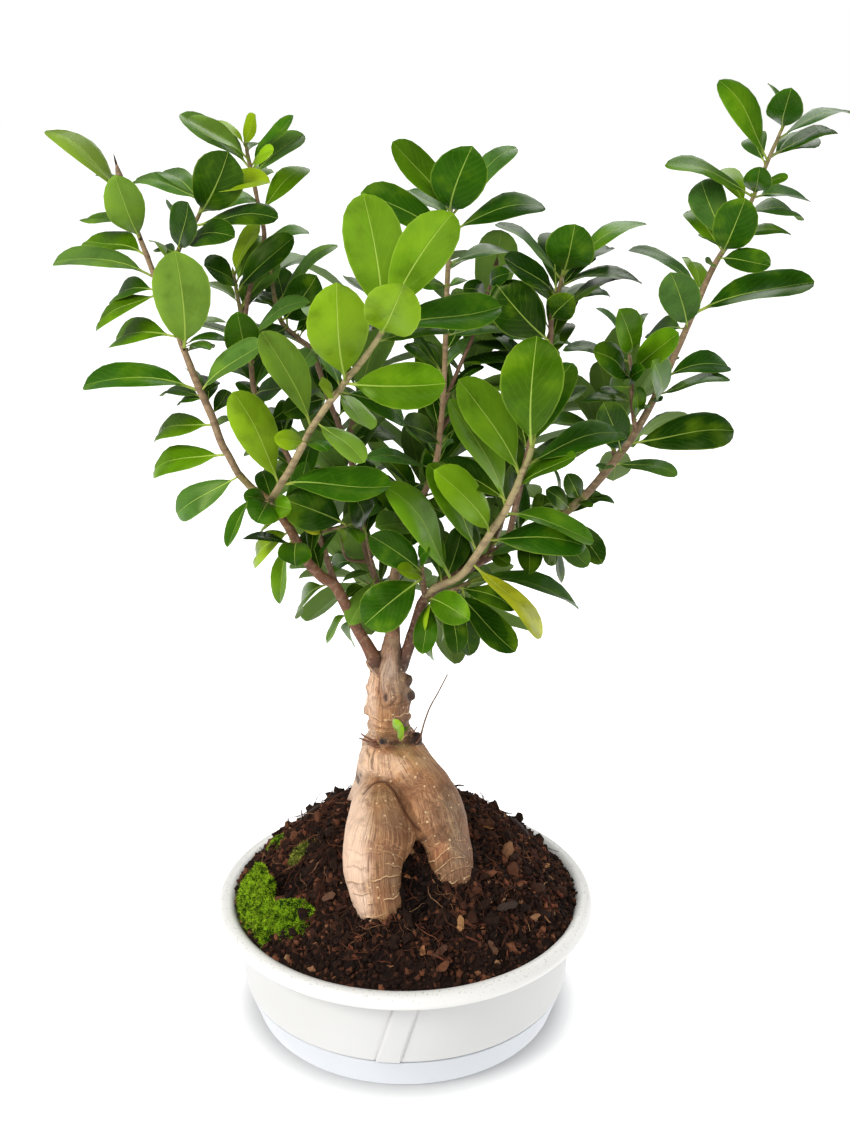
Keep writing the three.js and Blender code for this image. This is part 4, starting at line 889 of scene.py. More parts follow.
# Dark and pale places on the bark, some of them painted light: painted shade in the crevices where the
# limbs leave the neck, in the graft's hole and down the neck's right side, and painted highlights on the
# neck's left side and the left leg's top. Each row: x, z, half width, half height as seen from the front,
# colour, strength
BARK_SPOTS_AND_PAINTED_LIGHT = [
    (0.5, 180, 3.6, 22, "78523b", 0.65), (-8, 189, 4, 13, "cdbcae", 0.5), (-2, 199, 2, 8, "3a251b", 0.8),
    (-15, 196, 2.5, 6, "2f1b13", 0.8), (-17, 187, 3.5, 8, "f3c9ac", 0.5), (-20, 200, 3, 4, "8a5a3c", 0.5),
    (-13, 152.6, 8.5, 3.2, "74401f", 0.69), (-11.2, 152.6, 2.8, 2.2, "2a130a", 0.9),
    (-2, 151.5, 6, 2.2, "4f2817", 0.85), (-17.5, 153.5, 3.4, 1.4, "a55f33", 0.8),
    (4.5, 154.6, 4, 4, "2a150d", 0.92), (10, 95, 1.5, 1.8, "3a2419", 0.8),
    (31, 104, 1.2, 2.4, "6b3f2b", 0.6), (31.5, 97, 1.2, 2, "5a3424", 0.6),
    (-25, 133, 2.2, 5, "3c241a", 0.85), (-14.6, 199.5, 3.2, 4.6, "24130e", 0.95),
    (-1, 204, 1.4, 7, "4a2e22", 0.6), (6.8, 154.6, 3, 4.4, "2e1911", 0.9),
    (-10, 177, 1.3, 2.8, "4a3022", 0.8), (-22, 169, 1.6, 3, "46302a", 0.7),
    (-22.5, 182, 1.1, 4, "5a4238", 0.7), (4, 178, 3, 3.6, "8a7466", 0.6), (3.6, 187, 2, 3, "7a6456", 0.6),
    (-21.5, 141, 1.2, 1.5, "5a3423", 0.7), (-17, 137, 0.9, 1.3, "6a4029", 0.7),
    (-20, 147, 1, 1.2, "5a3423", 0.6), (-1, 147, 6, 5, "a99b5c", 0.35), (6, 141, 6, 5, "b3a268", 0.2),
    (-14, 66, 12, 5, "7a4e2c", 0.5), (27, 74, 10, 5, "70462a", 0.55),
    (-12, 138.5, 13, 7.5, "fbd6b4", 0.69), (-18, 168, 4, 18, "fbdcc4", 0.5),
    (-9.5, 177.8, 2.6, 4.4, "a97a5c", 0.6), (-9.7, 177.7, 1.2, 2.5, "3a241a", 0.9),
    (4.6, 178, 3.4, 4.8, "35231a", 0.92), (3.4, 187.5, 2.8, 4.4, "3d291f", 0.9),
    (-12, 152.3, 1.5, 1.4, "120805", 0.95), (19, 88, 5, 6, "a9643a", 0.5), (29, 92, 5, 12, "8a7660", 0.5),
    (20, 112, 9, 7, "94826a", 0.4), (12, 118, 7, 6, "c08c64", 0.5)]
root_points, root_faces = [], []


def put_in(points, faces):
    """Adds a part to the rootstock's points and faces."""
    root_faces.extend([tuple(c + len(root_points) for c in face) for face in faces])
    root_points.extend(points)


for rows in ROOT_LIMBS.values():
    rows = through(rows, 5)
    put_in(*tube(np.hstack([seen(rows), rows[:, 3:4]]), 30))
for x, z, depth, radius in ROOT_KNOBS:
    ball = bmesh.new()
    bmesh.ops.create_icosphere(ball, subdivisions=3, radius=radius)
    middle = seen([(x, z, depth)])[0]
    sides = [[v.index for v in side.verts] for side in ball.faces]
    put_in([np.array(v.co) + middle for v in ball.verts], sides)
    ball.free()
rows = through(LIP_LINE, 5)
put_in(*tube(np.hstack([seen(rows), np.full((len(rows), 1), LIP_THICKNESS)]), 10))
for height, radius, thick, tilt in NECK_RINGS:
    ring = []
    for k in range(NECK_RING_STEPS + 1):
        turn = math.tau * k / NECK_RING_STEPS
        wave = 0.5 * math.sin(3 * turn + height)
        x, y = -8 + (radius + wave) * math.cos(turn), (radius + wave) * math.sin(turn) + 1
        ring.append((x, y, height + tilt * radius * math.cos(turn) + wave, thick))
    put_in(*tube(ring, 10))

limbs = mesh_piece("limbs", root_points, root_faces)
fuse = limbs.modifiers.new("fuse", "REMESH")
fuse.mode = "VOXEL"
fuse.voxel_size = VOXEL / 1000
seen_by = bpy.context.evaluated_depsgraph_get()
body = bpy.data.meshes.new_from_object(limbs.evaluated_get(seen_by))
bpy.data.objects.remove(limbs)


def eased(places, pairs, rounds, share):
    """The places drawn towards their neighbours' middle, which rounds the steps of a remesh."""
    count = np.bincount(pairs.ravel(), minlength=len(places))[:, None]
    for _ in range(rounds):
        total = np.zeros_like(places)
        np.add.at(total, pairs[:, 0], places[pairs[:, 1]])
        np.add.at(total, pairs[:, 1], places[pairs[:, 0]])
        places = places + share * (total / count - places)
    return places


def nearest_on(lines, places):
    """For each place, its distance to the nearest line, that line's number and the run along it."""
    best = np.full(len(places), 1e9)
    which, run = np.zeros(len(places)), np.zeros(len(places))
    for number, (line, start, thick) in enumerate(lines):
        reached = start
        for k in range(len(line) - 1):
            step = line[k + 1] - line[k]
            length = np.linalg.norm(step)
            share = np.clip((places - line[k]) @ step / length ** 2, 0, 1)
            thickness = thick[k] + (thick[k + 1] - thick[k]) * share
            away = np.linalg.norm(places - line[k] - share[:, None] * step, axis=1) - thickness
            closer = away < best
            best = np.where(closer, away, best)
            which = np.where(closer, number, which)
            run = np.where(closer, reached + share * length, run)
            reached += length
    return best, which, run


count = len(body.vertices)
places = np.empty(count * 3)
body.vertices.foreach_get("co", places)
places = places.reshape(-1, 3) * 1000
pairs = np.empty(len(body.edges) * 2, np.int64)
body.edges.foreach_get("vertices", pairs)
pairs = pairs.reshape(-1, 2)
places = eased(places, pairs, 4, 0.5)
body.vertices.foreach_set("co", (places / 1000).ravel())
body.update()
facing = np.empty(count * 3)
body.vertices.foreach_get("normal", facing)
facing = facing.reshape(-1, 3)

# Where each point is seen from the front
sight = VIEWPOINT - places
nearness = EYE_AWAY / (places[:, 1] + EYE_AWAY)
seen_x = VIEWPOINT[0] + (places[:, 0] - VIEWPOINT[0]) * nearness
seen_z = VIEWPOINT[2] + (places[:, 2] - VIEWPOINT[2]) * nearness
front = np.clip(np.sum(sight * facing, axis=1) / np.linalg.norm(sight, axis=1) * 4, 0, 1)


def off_line(line):
    """Distance of each point from a line on the front, as seen from there."""
    rows = np.array(line, float)
    flat = np.stack([seen_x, seen_z, np.zeros(count)], axis=1)
    line3 = np.hstack([rows, np.zeros((len(rows), 1))])
    return nearest_on([(line3, 0.0, np.zeros(len(rows)))], flat)[0]


off_seam = off_line(through(SEAM_LINE, 3))
off_groove = off_line(through(NECK_GROOVE, 3))
seam = np.exp(-(off_seam / 1.0) ** 2) * front
groove = np.exp(-(off_groove / 0.8) ** 2) * front
bark_relief = 0.55 * lumps(places, 15, 5) + 0.3 * lumps(places, 6, 6) + 0.12 * lumps(places, 2.6, 7)
upper = np.clip((places[:, 2] - 148) / 12, 0, 1)
bark_relief += upper * (0.8 * lumps(places, 4.5, 8) + 0.45 * lumps(places, 2.2, 9))
places += facing * (bark_relief - 1.1 * seam - 0.9 * groove)[:, None]
body.vertices.foreach_set("co", (places / 1000).ravel())
body.update()

# The run along the limbs and the way round them, for the bark's lines
lines = []
for name, rows in ROOT_LIMBS.items():
    rows = through(rows, 6)
    beyond = rows[-1] + 24 * (rows[-1] - rows[-2])
    beyond[3] = rows[-1, 3]
    rows = np.vstack([rows, beyond])
    lines.append((seen(rows), RUN_STARTS[name], rows[:, 3]))
_, which, along_limb = nearest_on(lines, places)
along_limb = eased(along_limb[:, None], pairs, 8, 0.5)[:, 0]
around_limb = np.arctan2(facing[:, 0], -facing[:, 1]) * 12
grain = np.stack([around_limb, along_limb, which * 7.37 + 0.41], axis=1)

tint = np.tile(paint("b67e4f")[:3], (count, 1))
# How much of the fibres and clouds shows in the bark, from 0 to 1
figure = np.ones(count)


def dab(mask, colour, strength=1.0):
    """Colours the bark where the mask is near 1."""
    weight = np.clip(mask, 0, 1)[:, None] * strength
    tint[:] = tint * (1 - weight) + np.array(paint(colour)[:3]) * weight


dab(0.4 + 0.9 * lumps(places, 20, 11), "c99468", 0.5)
dab(0.1 + 1.5 * lumps(places, 10, 12), "885532", 0.55)
dab((0.0 + 1.6 * lumps(places, 6.5, 13)) * (seen_x > -6), "7f6650", 0.45)
# Painted highlight: the left edges are pale and show fewer fibres, as if lit from the left
dab((-15.5 - seen_x) / 6, "f6d5bb", 0.9)
figure -= 0.6 * np.clip((-20 - seen_x) / 5, 0, 1)
# Painted shade: lower down on the right, on the left leg's right half and on the neck's right side the bark
# is darker
dab((seen_x - 2) / 18 * np.clip((146 - seen_z) / 20, 0, 1), "512c0e", 0.9)
dab(np.clip((seen_x + 19) / 12, 0, 1) * (which == 2), "6c4624", 0.8)
dab(np.clip((seen_x + 8) / 9, 0, 1) * np.clip((seen_z - 150) / 8, 0, 1), "6b432b", 0.8)
# A painted highlight on the neck's left edge
dab(np.clip((-15 - seen_x) / 3, 0, 1) * (seen_z > 150), "efccb0", 0.6)
dab((seen_z - 190) / 8, "a07a62", 0.75)
dab((6.3 - np.abs(seen_x + 7.4)) / 2 * np.clip((seen_z - 173) / 8, 0, 1), "9a7c6a", 0.7)
# Painted shade down the neck's right side
dab((seen_x + 4) / 3 * np.clip((seen_z - 157) / 6, 0, 1) * (seen_z < 197), "3d2415", 0.85)
# Painted shade on the sides that face away from the front
dab((facing[:, 1] + 0.1) * 1.4, "86603f", 0.6)
# Spots from the table, among them painted shade and painted highlights
for x, z, wide, high, colour, strength in BARK_SPOTS_AND_PAINTED_LIGHT:
    away = np.hypot((seen_x - x) / wide, (seen_z - z) / high) + 0.25 * lumps(places, 2.0, x)
    near = np.clip((1.15 - away) / 0.35, 0, 1) * front
    dab(near, colour, strength)
    figure -= 0.7 * near * (strength > 0.7)
# The seam and the neck's groove are darker, partly the bark's own colour in the crease and partly painted
# shade
dab(np.exp(-(off_seam / 2.2) ** 2) * front * (seen_x > -7), "8a4f2c", 0.5)
dab(groove, "6a4632", 0.5)
dab((74 - places[:, 2] + 3 * lumps(places, 4, 14)) / 10 * (places[:, 2] < 84), "6a4329", 0.6)

marked(body, "grain", "FLOAT_VECTOR", grain)
marked(body, "bark_tint", "FLOAT_COLOR", np.hstack([tint, np.clip(figure, 0, 1)[:, None]]))
# The creases' distance, for a thin dark line that is partly painted shade
off_crease = np.where(front > 0.2, np.minimum(off_seam, off_groove + 0.25), 9.0)
marked(body, "off_crease", "FLOAT", off_crease)

root_finish, tree, shader = finish_of("thin_tan_bark", "cfa077", 0.58)
tinted = read(tree, "bark_tint", "Color")
figured_here = read(tree, "bark_tint", "Alpha")
grain = read(tree, "grain", "Vector")
place = spot_of(tree)
# Thin pale lines go round the limb, each with a thin painted shadow below it, close together above the soil
sway = streaks(tree, grain, (0.09, 0.03, 1.0), 3.0, 0.6)
phase = figured(tree, "ADD", times(tree, axis_of(tree, grain, "Y"), 0.2), times(tree, sway, 1.6))
off_ring = figured(tree, "SUBTRACT", figured(tree, "FRACT", phase), 0.5)
pale_ring = ranged(tree, figured(tree, "ABSOLUTE", off_ring), 0.025, 0.065, 1.0, 0.0)
painted_ring_shadow = times(tree, ranged(tree, off_ring, 0.05, 0.08), ranged(tree, off_ring, 0.26, 0.12))
broken = ranged(tree, streaks(tree, grain, (0.12, 0.35, 9.0), 2.0), 0.42, 0.5)
height = axis_of(tree, place, "Z")
at_neck = times(tree, ranged(tree, height, 0.154, 0.157, 0.0, 0.9), ranged(tree, height, 0.174, 0.17))
low_down = figured(tree, "MAXIMUM", ranged(tree, height, 0.122, 0.108, 0.12, 1.0), at_neck)
rings_here = times(tree, broken, low_down)
pale_ring = times(tree, pale_ring, rings_here)
painted_ring_shadow = times(tree, painted_ring_shadow, rings_here)
# A fine pale crackle in places
squeezed = add(tree, "ShaderNodeMapping", {"Vector": grain, "Scale": (0.17, 0.15, 1.0)}).outputs["Vector"]
bends = noise(tree, place, 190.0, field="Color")
bent = add(tree, "ShaderNodeVectorMath", {0: squeezed, 1: bends}).outputs[0]
cells = add(tree, "ShaderNodeTexVoronoi", {"Vector": bent, "Scale": 1.0}, feature="DISTANCE_TO_EDGE")
somewhere = ranged(tree, streaks(tree, grain, (0.12, 0.12, 5.0), 2.0), 0.47, 0.57, 0.0, 0.3)
crackle = times(tree, ranged(tree, cells.outputs["Distance"], 0.01, 0.045, 1.0, 0.0), somewhere)
every_line = times(tree, figured(tree, "MAXIMUM", pale_ring, crackle), figured_here)
fibres_down = streaks(tree, grain, (2.1, 0.09, 2.0), 4.0, 0.7)
dots = 0.0
for cell_scale, reach, share in ((250.0, 0.18, 0.5), (165.0, 0.15, 0.66)):
    cells = add(tree, "ShaderNodeTexVoronoi", {"Vector": place, "Scale": cell_scale})
    chosen = add(tree, "ShaderNodeSeparateColor", {"Color": cells.outputs["Color"]}).outputs["Red"]
    round_dot = ranged(tree, cells.outputs["Distance"], reach - 0.06, reach, 1.0, 0.0)
    round_dot = times(tree, round_dot, ranged(tree, chosen, share, share + 0.05))
    dots = figured(tree, "MAXIMUM", round_dot, dots)
fine = noise(tree, place, 700.0, 5.0)
clouds = noise(tree, place, 170.0, 4.0)
regions = noise(tree, place, 70.0, 3.0)
colour = coated(tree, tinted, [
    (regions, 0.5, 0.66, 0.4, "94562c"), (regions, 0.48, 0.36, 0.35, "a58d6c"),
    (fibres_down, 0.51, 0.6, 0.75, "552f14"), (fibres_down, 0.48, 0.37, 0.45, "e0ae7c"),
    (clouds, 0.52, 0.64, 0.55, "6f3f20"), (fine, 0.35, 0.7, 0.25, "b98a60")])
colour = coated(tree, blended(tree, figured_here, tinted, colour), [
    (painted_ring_shadow, 0.0, 1.0, 0.5, "5c3015"), (every_line, 0.0, 1.0, 0.85, "f8cd98"),
    # The last coat is the creases' thin dark line, partly painted shade
    (dots, 0.0, 1.0, 0.7, "fbd9aa"), (read(tree, "off_crease"), 0.8, 0.2, 0.8, "4f2612")])
relief = figured(tree, "ADD", times(tree, fibres_down, -0.6), times(tree, fine, 0.35))
relief = figured(tree, "ADD", relief, times(tree, figured(tree, "MAXIMUM", every_line, dots), 0.5))
relief = figured(tree, "SUBTRACT", relief, times(tree, painted_ring_shadow, 0.4))
dressed(tree, shader, colour, relief, 0.9, 0.0008)
tree.links.new(ranged(tree, fine, 0.3, 0.7, 0.5, 0.68), shader.inputs["Roughness"])

body.materials.append(root_finish)
body.polygons.foreach_set("use_smooth", [True] * len(body.polygons))
settle(shown("root_and_trunk", body), "root_bark", "rootstock")


# Leafy shoots
# The crown grew from the neck as separate shoots: smooth brown twigs that carry thick glossy leaves on
# short petioles, one by one in a spiral. Each shoot is one piece with its twigs, leaves and buds.

# The leaf's outline: the share of its length, and the half width there as a share of its width
LEAF_OUTLINE = [
    (0, 0.03), (0.06, 0.028), (0.115, 0.034), (0.15, 0.065), (0.2, 0.15), (0.28, 0.265), (0.39, 0.38),
    (0.51, 0.462), (0.63, 0.5), (0.75, 0.492), (0.86, 0.42), (0.93, 0.31), (0.975, 0.18), (1, 0.0)]
LEAF_THICKNESS = 0.024
PETIOLE_THICKNESS = 0.06


def leaf_shape(name, fold, arch, wave, bend, curl, width_shift):
    """A leaf one long and one wide, its base at the origin, pointing along Y with its upper face up."""
    columns, points, faces, spots, under = (-1.0, -0.52, 0.0, 0.52, 1.0), [], [], [], []
    stations = len(LEAF_OUTLINE)
    for layer in (1, -1):
        for share, half in LEAF_OUTLINE:
            half = half * (1 + width_shift * (share - 0.6))
            blade = min(1.0, max(0.0, (share - 0.1) / 0.12))
            thick = PETIOLE_THICKNESS + (LEAF_THICKNESS - PETIOLE_THICKNESS) * blade
            for u in columns:
                lift = fold * half * abs(u) * blade - curl * half * abs(u) ** 3 * blade
                lift += arch * 4 * share * (1 - share) + wave * math.sin(math.tau * share)
                lift += 0.035 * math.sin(9 * share + 2.4 * u + 40 * bend) * abs(u) * blade
                if abs(u) < 1:
                    lift += 0.5 * thick * layer
                if layer < 0 and u == 0:
                    lift -= 0.022 * blade * (1 - share)
                side = u * half + bend * 4 * share * (1 - share)
                points.append((side, share, lift))
                spots.append((u * half, share, u))
    for layer in (0, 1):
        for s in range(stations - 1):
            for k in range(4):
                corner = layer * stations * 5 + s * 5 + k
                halves = [(corner, corner + 1, corner + 6), (corner, corner + 6, corner + 5)]
                if k > 1:
                    halves = [(corner, corner + 1, corner + 5), (corner + 1, corner + 6, corner + 5)]
                if s == stations - 2:
                    halves = [(corner, corner + 1, corner + 5)]
                for half in halves:
                    faces.append(half if layer == 0 else tuple(reversed(half)))
                    under.append(layer)
    # The two faces share their edge, their ends and one point at the tip
    joined = {}
    for s in range(stations):
        for k in range(5):
            top_corner, low_corner = s * 5 + k, stations * 5 + s * 5 + k
            if k in (0, 4):
                joined[low_corner] = top_corner
            if s == stations - 1:
                joined[top_corner] = (stations - 1) * 5
                joined[low_corner] = (stations - 1) * 5
    kept, place_of = [], {}
    for n in range(len(points)):
        if joined.get(n, n) == n:
            place_of[n] = len(kept)
            kept.append(n)
    faces = [tuple(dict.fromkeys(place_of[joined.get(c, c)] for c in face)) for face in faces]
    low_end = stations * 5
    faces.append(tuple(place_of[c] for c in (0, low_end + 1, low_end + 2, low_end + 3, 4, 3, 2, 1)))
    under.append(1)
    mesh = bpy.data.meshes.new(name)
    mesh.from_pydata([tuple(0.001 * c for c in points[n]) for n in kept], [], faces)
    mesh.polygons.foreach_set("use_smooth", [True] * len(mesh.polygons))
    marked(mesh, "leaf_spot", "FLOAT_VECTOR", [spots[n] for n in kept])
    marked(mesh, "underside", "FLOAT", under, "FACE")
    rim = {place_of[s * 5 + k] for s in range(stations - 1) for k in (0, 4)}
    rim.add(place_of[(stations - 1) * 5])
    marked(mesh, "sharp_edge", "BOOLEAN", [rim.issuperset(edge.vertices) for edge in mesh.edges], "EDGE")
    return bpy.data.objects.new(name, mesh)


def bud_shape(name):
    """A pointed closed bud one long and one wide, in two scales."""
    profile = [(0.32, 0), (0.5, 0.18), (0.46, 0.4), (0.28, 0.7), (0.09, 0.93)]
    points, faces = [], []
    for half, share in profile:
        for k in range(6):
            turn = math.tau * k / 6
            points.append((half * math.cos(turn), share, half * math.sin(turn)))
    points.append((0, 1, 0))
    for s in range(4):
        for k in range(6):
            a, b = s * 6, (s + 1) * 6
            faces.append((a + k, b + k, b + (k + 1) % 6, a + (k + 1) % 6))
    faces += [(24 + k, 30, 24 + (k + 1) % 6) for k in range(6)] + [tuple(range(5, -1, -1))]
    made = shape(name, points, faces, True)
    marked(made.data, "underside", "FLOAT", [2.0] * len(faces), "FACE")
    return made


leaf_shapes = collected("leaf_shapes", [
    leaf_shape("leaf_0", 0.5, 0.16, 0.03, 0.02, 0.2, 0.0),
    leaf_shape("leaf_1", 0.36, 0.26, -0.05, -0.05, 0.3, 0.12),
    leaf_shape("leaf_2", 0.66, 0.08, 0.06, 0.06, 0.4, -0.12),
    leaf_shape("leaf_3", 0.42, 0.32, 0.02, -0.07, 0.2, 0.18),
    leaf_shape("leaf_4", 0.56, 0.2, -0.08, 0.03, 0.5, 0.05),
    bud_shape("leaf_5_bud")])

# Twigs become tubes along smooth curves, and a leaf or bud is set on each loose point
leafing = tree_of("leafing", [
    ("Leaf Shapes", "Collection"), ("Leaf Finish", "Material"), ("Bark Finish", "Material"),
    ("Twig Sides", "Int"), ("Lumpiness", "Float")])
into = add(leafing, "NodeGroupInput").outputs
is_leaf = carried(leafing, "is_leaf", "BOOLEAN")
apart = add(leafing, "GeometryNodeSeparateGeometry", {
    "Geometry": into["Geometry"], "Selection": is_leaf}, domain="POINT").outputs
spots = add(leafing, "GeometryNodeMeshToPoints", {"Mesh": apart["Selection"]})
turns = add(leafing, "FunctionNodeEulerToRotation", {0: carried(leafing, "leaf_turn", "FLOAT_VECTOR")})
leaves = set_on(
    leafing, spots.outputs[0], into["Leaf Shapes"], carried(leafing, "leaf_kind", "INT"), turns.outputs[0],
    carried(leafing, "leaf_size", "FLOAT_VECTOR"))
real = add(leafing, "GeometryNodeRealizeInstances", {0: leaves})
curves = add(leafing, "GeometryNodeMeshToCurve", {"Mesh": apart["Inverted"]})
bent = add(leafing, "GeometryNodeCurveSplineType", {"Curve": curves.outputs[0]}, spline_type="CATMULL_ROM")
fine_bent = add(leafing, "GeometryNodeSetSplineResolution", {"Geometry": bent.outputs[0], "Resolution": 5})
section = add(leafing, "GeometryNodeCurvePrimitiveCircle", {
    "Resolution": into["Twig Sides"], "Radius": 1.0})
tubes = add(leafing, "GeometryNodeCurveToMesh", {
    "Curve": fine_bent.outputs[0], "Profile Curve": section.outputs[0],
    "Scale": carried(leafing, "thickness"), "Fill Caps": True})
rough = add(leafing, "ShaderNodeTexNoise", {"Scale": 260.0, "Detail": 1.0}).outputs["Fac"]
depth = times(leafing, figured(leafing, "SUBTRACT", rough, 0.45), into["Lumpiness"])
out_way = scaled(leafing, add(leafing, "GeometryNodeInputNormal").outputs[0], depth)
lumpy = add(leafing, "GeometryNodeSetPosition", {"Geometry": tubes.outputs[0], "Offset": out_way})
soft = add(leafing, "GeometryNodeSetShadeSmooth", {"Geometry": lumpy.outputs[0]})
both = joined(leafing, [
    finished(leafing, real.outputs[0], into["Leaf Finish"]),
    finished(leafing, soft.outputs[0], into["Bark Finish"])])
add(leafing, "NodeGroupOutput", {"Geometry": both})

# Leaf colours: 0 to 3 go from the darkest, oldest leaves to the youngest; 4, 5, 7 and 8 are greens between
# them, and 6 is yellowing
LEAF_TONES = ["183b04", "265207", "477808", "77a615", "648f30", "3f6929", "b4bf22", "659618", "3b6604"]
BUD_TONE = "7d8a3c"
# The usual length of a full-grown leaf, of a young one and of one that only just opens
MATURE, YOUNG, NEWEST = 36.0, 22.0, 14.0
# A leaf that looks narrower or shorter than this is a young one, or below the last width just opening
YOUNG_WIDTH, YOUNG_RUN, NEWEST_WIDTH = 5.0, 16.0, 3.6
LEAF_WIDTH_TO_LENGTH = 0.4

leaf_finish, tree, shader = finish_of(
    "glossy_leaf", "4a8526", 0.34, Specular_IOR_Level=0.25, Specular_Tint=paint("cbe080"))
tinted = read(tree, "tint", "Color")
# A point's place across the blade, along it, and from one edge to the other
spot = read(tree, "leaf_spot", "Vector")
across, along, side_to_side = (axis_of(tree, spot, axis) for axis in "XYZ")
low_side = read(tree, "underside")
place = spot_of(tree)
off_rib = figured(tree, "ABSOLUTE", across)
rib_width = ranged(tree, along, 0.1, 1.0, 0.026, 0.005)
rib = ranged(tree, figured(tree, "SUBTRACT", 1.0, figured(tree, "DIVIDE", off_rib, rib_width)), 0.0, 0.6)
steps_along = figured(tree, "SUBTRACT", times(tree, along, 10.0), times(tree, off_rib, 8.0))
steps_along = figured(tree, "ADD", steps_along, times(tree, noise(tree, place, 130.0), 1.4))
vein = figured(tree, "ABSOLUTE", figured(tree, "SUBTRACT", figured(tree, "FRACT", steps_along), 0.5))
vein = ranged(tree, vein, 0.015, 0.09, 1.0, 0.0)
on_blade = ranged(tree, along, 0.13, 0.2)
vein = times(tree, vein, times(tree, on_blade, ranged(tree, off_rib, 0.5, 0.3)))
cloudy = noise(tree, place, 62.0, 4.0)
light_patch = blended(tree, 0.3, tinted, "96c01c")
dark_patch_and_shade = blended(tree, 0.5, tinted, "0f2a04")
pale_edge = times(tree, ranged(tree, figured(tree, "ABSOLUTE", side_to_side), 0.93, 0.99), on_blade)
# Light and dark patches, a darker half that is painted shade and a darker base, then the edge, the veins,
# the rib and the petiole
colour = coated(tree, tinted, [
    (cloudy, 0.5, 0.66, 0.8, light_patch), (cloudy, 0.48, 0.34, 0.7, dark_patch_and_shade),
    (side_to_side, -0.12, 0.12, 0.42, dark_patch_and_shade), (along, 0.65, 0.15, 0.35, dark_patch_and_shade),
    (pale_edge, 0.0, 1.0, 0.3, "a9c648"), (vein, 0.0, 1.0, 0.06, "a5cc48"),
    (rib, 0.0, 1.0, 0.66, "b5d05c"), (along, 0.16, 0.1, 0.75, "a9b655")])
pale = blended(tree, 0.42, colour, "86a452")
colour = coated(tree, colour, [(low_side, 0.0, 1.0, 1.0, pale), (low_side, 1.0, 2.0, 1.0, tinted)])
shine = ranged(tree, low_side, 0.0, 1.0, 0.0, 0.25)
shine = figured(tree, "ADD", shine, ranged(tree, cloudy, 0.3, 0.7, 0.24, 0.38))
tree.links.new(shine, shader.inputs["Roughness"])
relief = figured(tree, "SUBTRACT", times(tree, noise(tree, place, 900.0), 0.1), times(tree, vein, 0.08))
relief = figured(tree, "SUBTRACT", relief, times(tree, rib, 0.9))
dressed(tree, shader, colour, relief, 0.5, 0.0004)

twig_finish, tree, shader = finish_of("young_bark", "8a6a50", 0.62)
place = spot_of(tree)
flecks = noise(tree, place, 420.0, 4.0)
bands = streaks(tree, place, (60.0, 60.0, 420.0), 2.0)
colour = coated(tree, read(tree, "tint", "Color"), [
    (flecks, 0.5, 0.75, 0.5, "c2a582"), (bands, 0.52, 0.62, 0.4, "54372b")])
dressed(tree, shader, colour, figured(tree, "ADD", flecks, times(tree, bands, 0.6)), 0.7, 0.0005)


def on_stem(lines, x, z):
    """The place on the stem or its twigs nearest to x and z, with its depth."""
    best, found = 1e9, None
    for rows in lines:
        for before, after in zip(rows, rows[1:]):
            run_x, run_z = after[0] - before[0], after[1] - before[1]
            share = ((x - before[0]) * run_x + (z - before[1]) * run_z) / (run_x ** 2 + run_z ** 2)
            share = min(1.0, max(0.0, share))
            row = [before[k] + (after[k] - before[k]) * share for k in range(3)]
            away = math.hypot(row[0] - x, row[1] - z)
            if away < best:
                best, found = away, row
    return found


def real_place(x, z, depth):
    """The real place of a point seen at x and z from the front, at that depth."""
    return Vector(seen([(x, z, depth)])[0])


def seen_leaf(lines, row):
    """Base, direction, normal and size of a leaf written as it looks from the front."""
    x, z, tip_x, tip_z, change, seen_width, tone = row
    start = on_stem(lines, x, z)
    run = math.hypot(tip_x - start[0], tip_z - start[1])
    natural = MATURE if seen_width >= YOUNG_WIDTH and run >= YOUNG_RUN else YOUNG
    if seen_width < NEWEST_WIDTH:
        natural = min(natural, NEWEST)
    least = math.sqrt(max(natural ** 2 - run ** 2, 0))
    change = math.copysign(max(abs(change), least), change) if change else 0.0
    base, tip = real_place(*start), real_place(tip_x, tip_z, start[2] + change)
    along = tip - base
    length = along.length
    along.normalize()
    middle = base.lerp(tip, 0.5)
    to_viewer = Vector(VIEWPOINT) - middle
    to_viewer = (to_viewer - along * to_viewer.dot(along)).normalized()
    upward = to_viewer.cross(along) if along.x >= 0 else along.cross(to_viewer)
    true_width = seen_width * (1 + middle.y / EYE_AWAY)
    width = max(true_width, LEAF_WIDTH_TO_LENGTH * length)
    roll = math.acos(min(1.0, true_width / width)) * 0.9
    normal = to_viewer * math.cos(roll) + upward * math.sin(roll)
    return base, along, normal, length, width, tone


# The rear shoots' leaves are this long. The sprays inside the crown have shorter ones.
LONG_SPRAY_LEAF = 46.0
# Degrees round the stem from one leaf to the next
LEAF_STEP = 137.5


def sprayed(rows, first, last, count, usual=LONG_SPRAY_LEAF):
    """Leaves in a spiral round a stem that lean out, up and along it; the shorter ones point backwards."""
    up = Vector((0, 0, 1))
    places = [Vector(p) for p in seen(rows)]
    axis = (places[-1] - places[0]).normalized()
    side = axis.cross(up).normalized()
    over = side.cross(axis)
    short = usual < LONG_SPRAY_LEAF
    for k in range(count):
        step = (first + (last - first) * k / (count - 1)) * (len(rows) - 1)
        near = min(int(step), len(rows) - 2)
        base = places[near].lerp(places[near + 1], step - near)
        turn = math.radians(LEAF_STEP * k)
        outward = side * math.cos(turn) + over * math.sin(turn)
        if short:
            outward.y = abs(outward.y)
        along = (outward * 0.8 + axis * 0.4 + up * 0.2).normalized()
        length = usual + 8 * math.sin(3 * k)
        normal = (axis + up) * 0.7
        normal = (normal - along * normal.dot(along)).normalized()
        yield base, along, normal, length, LEAF_WIDTH_TO_LENGTH * length, 0 if short else k % 2


# Past this share of its length a twig turns towards its bud's colour, and by this much at its tip
FRESH_FROM, FRESH_AMOUNT = 0.6, 0.45
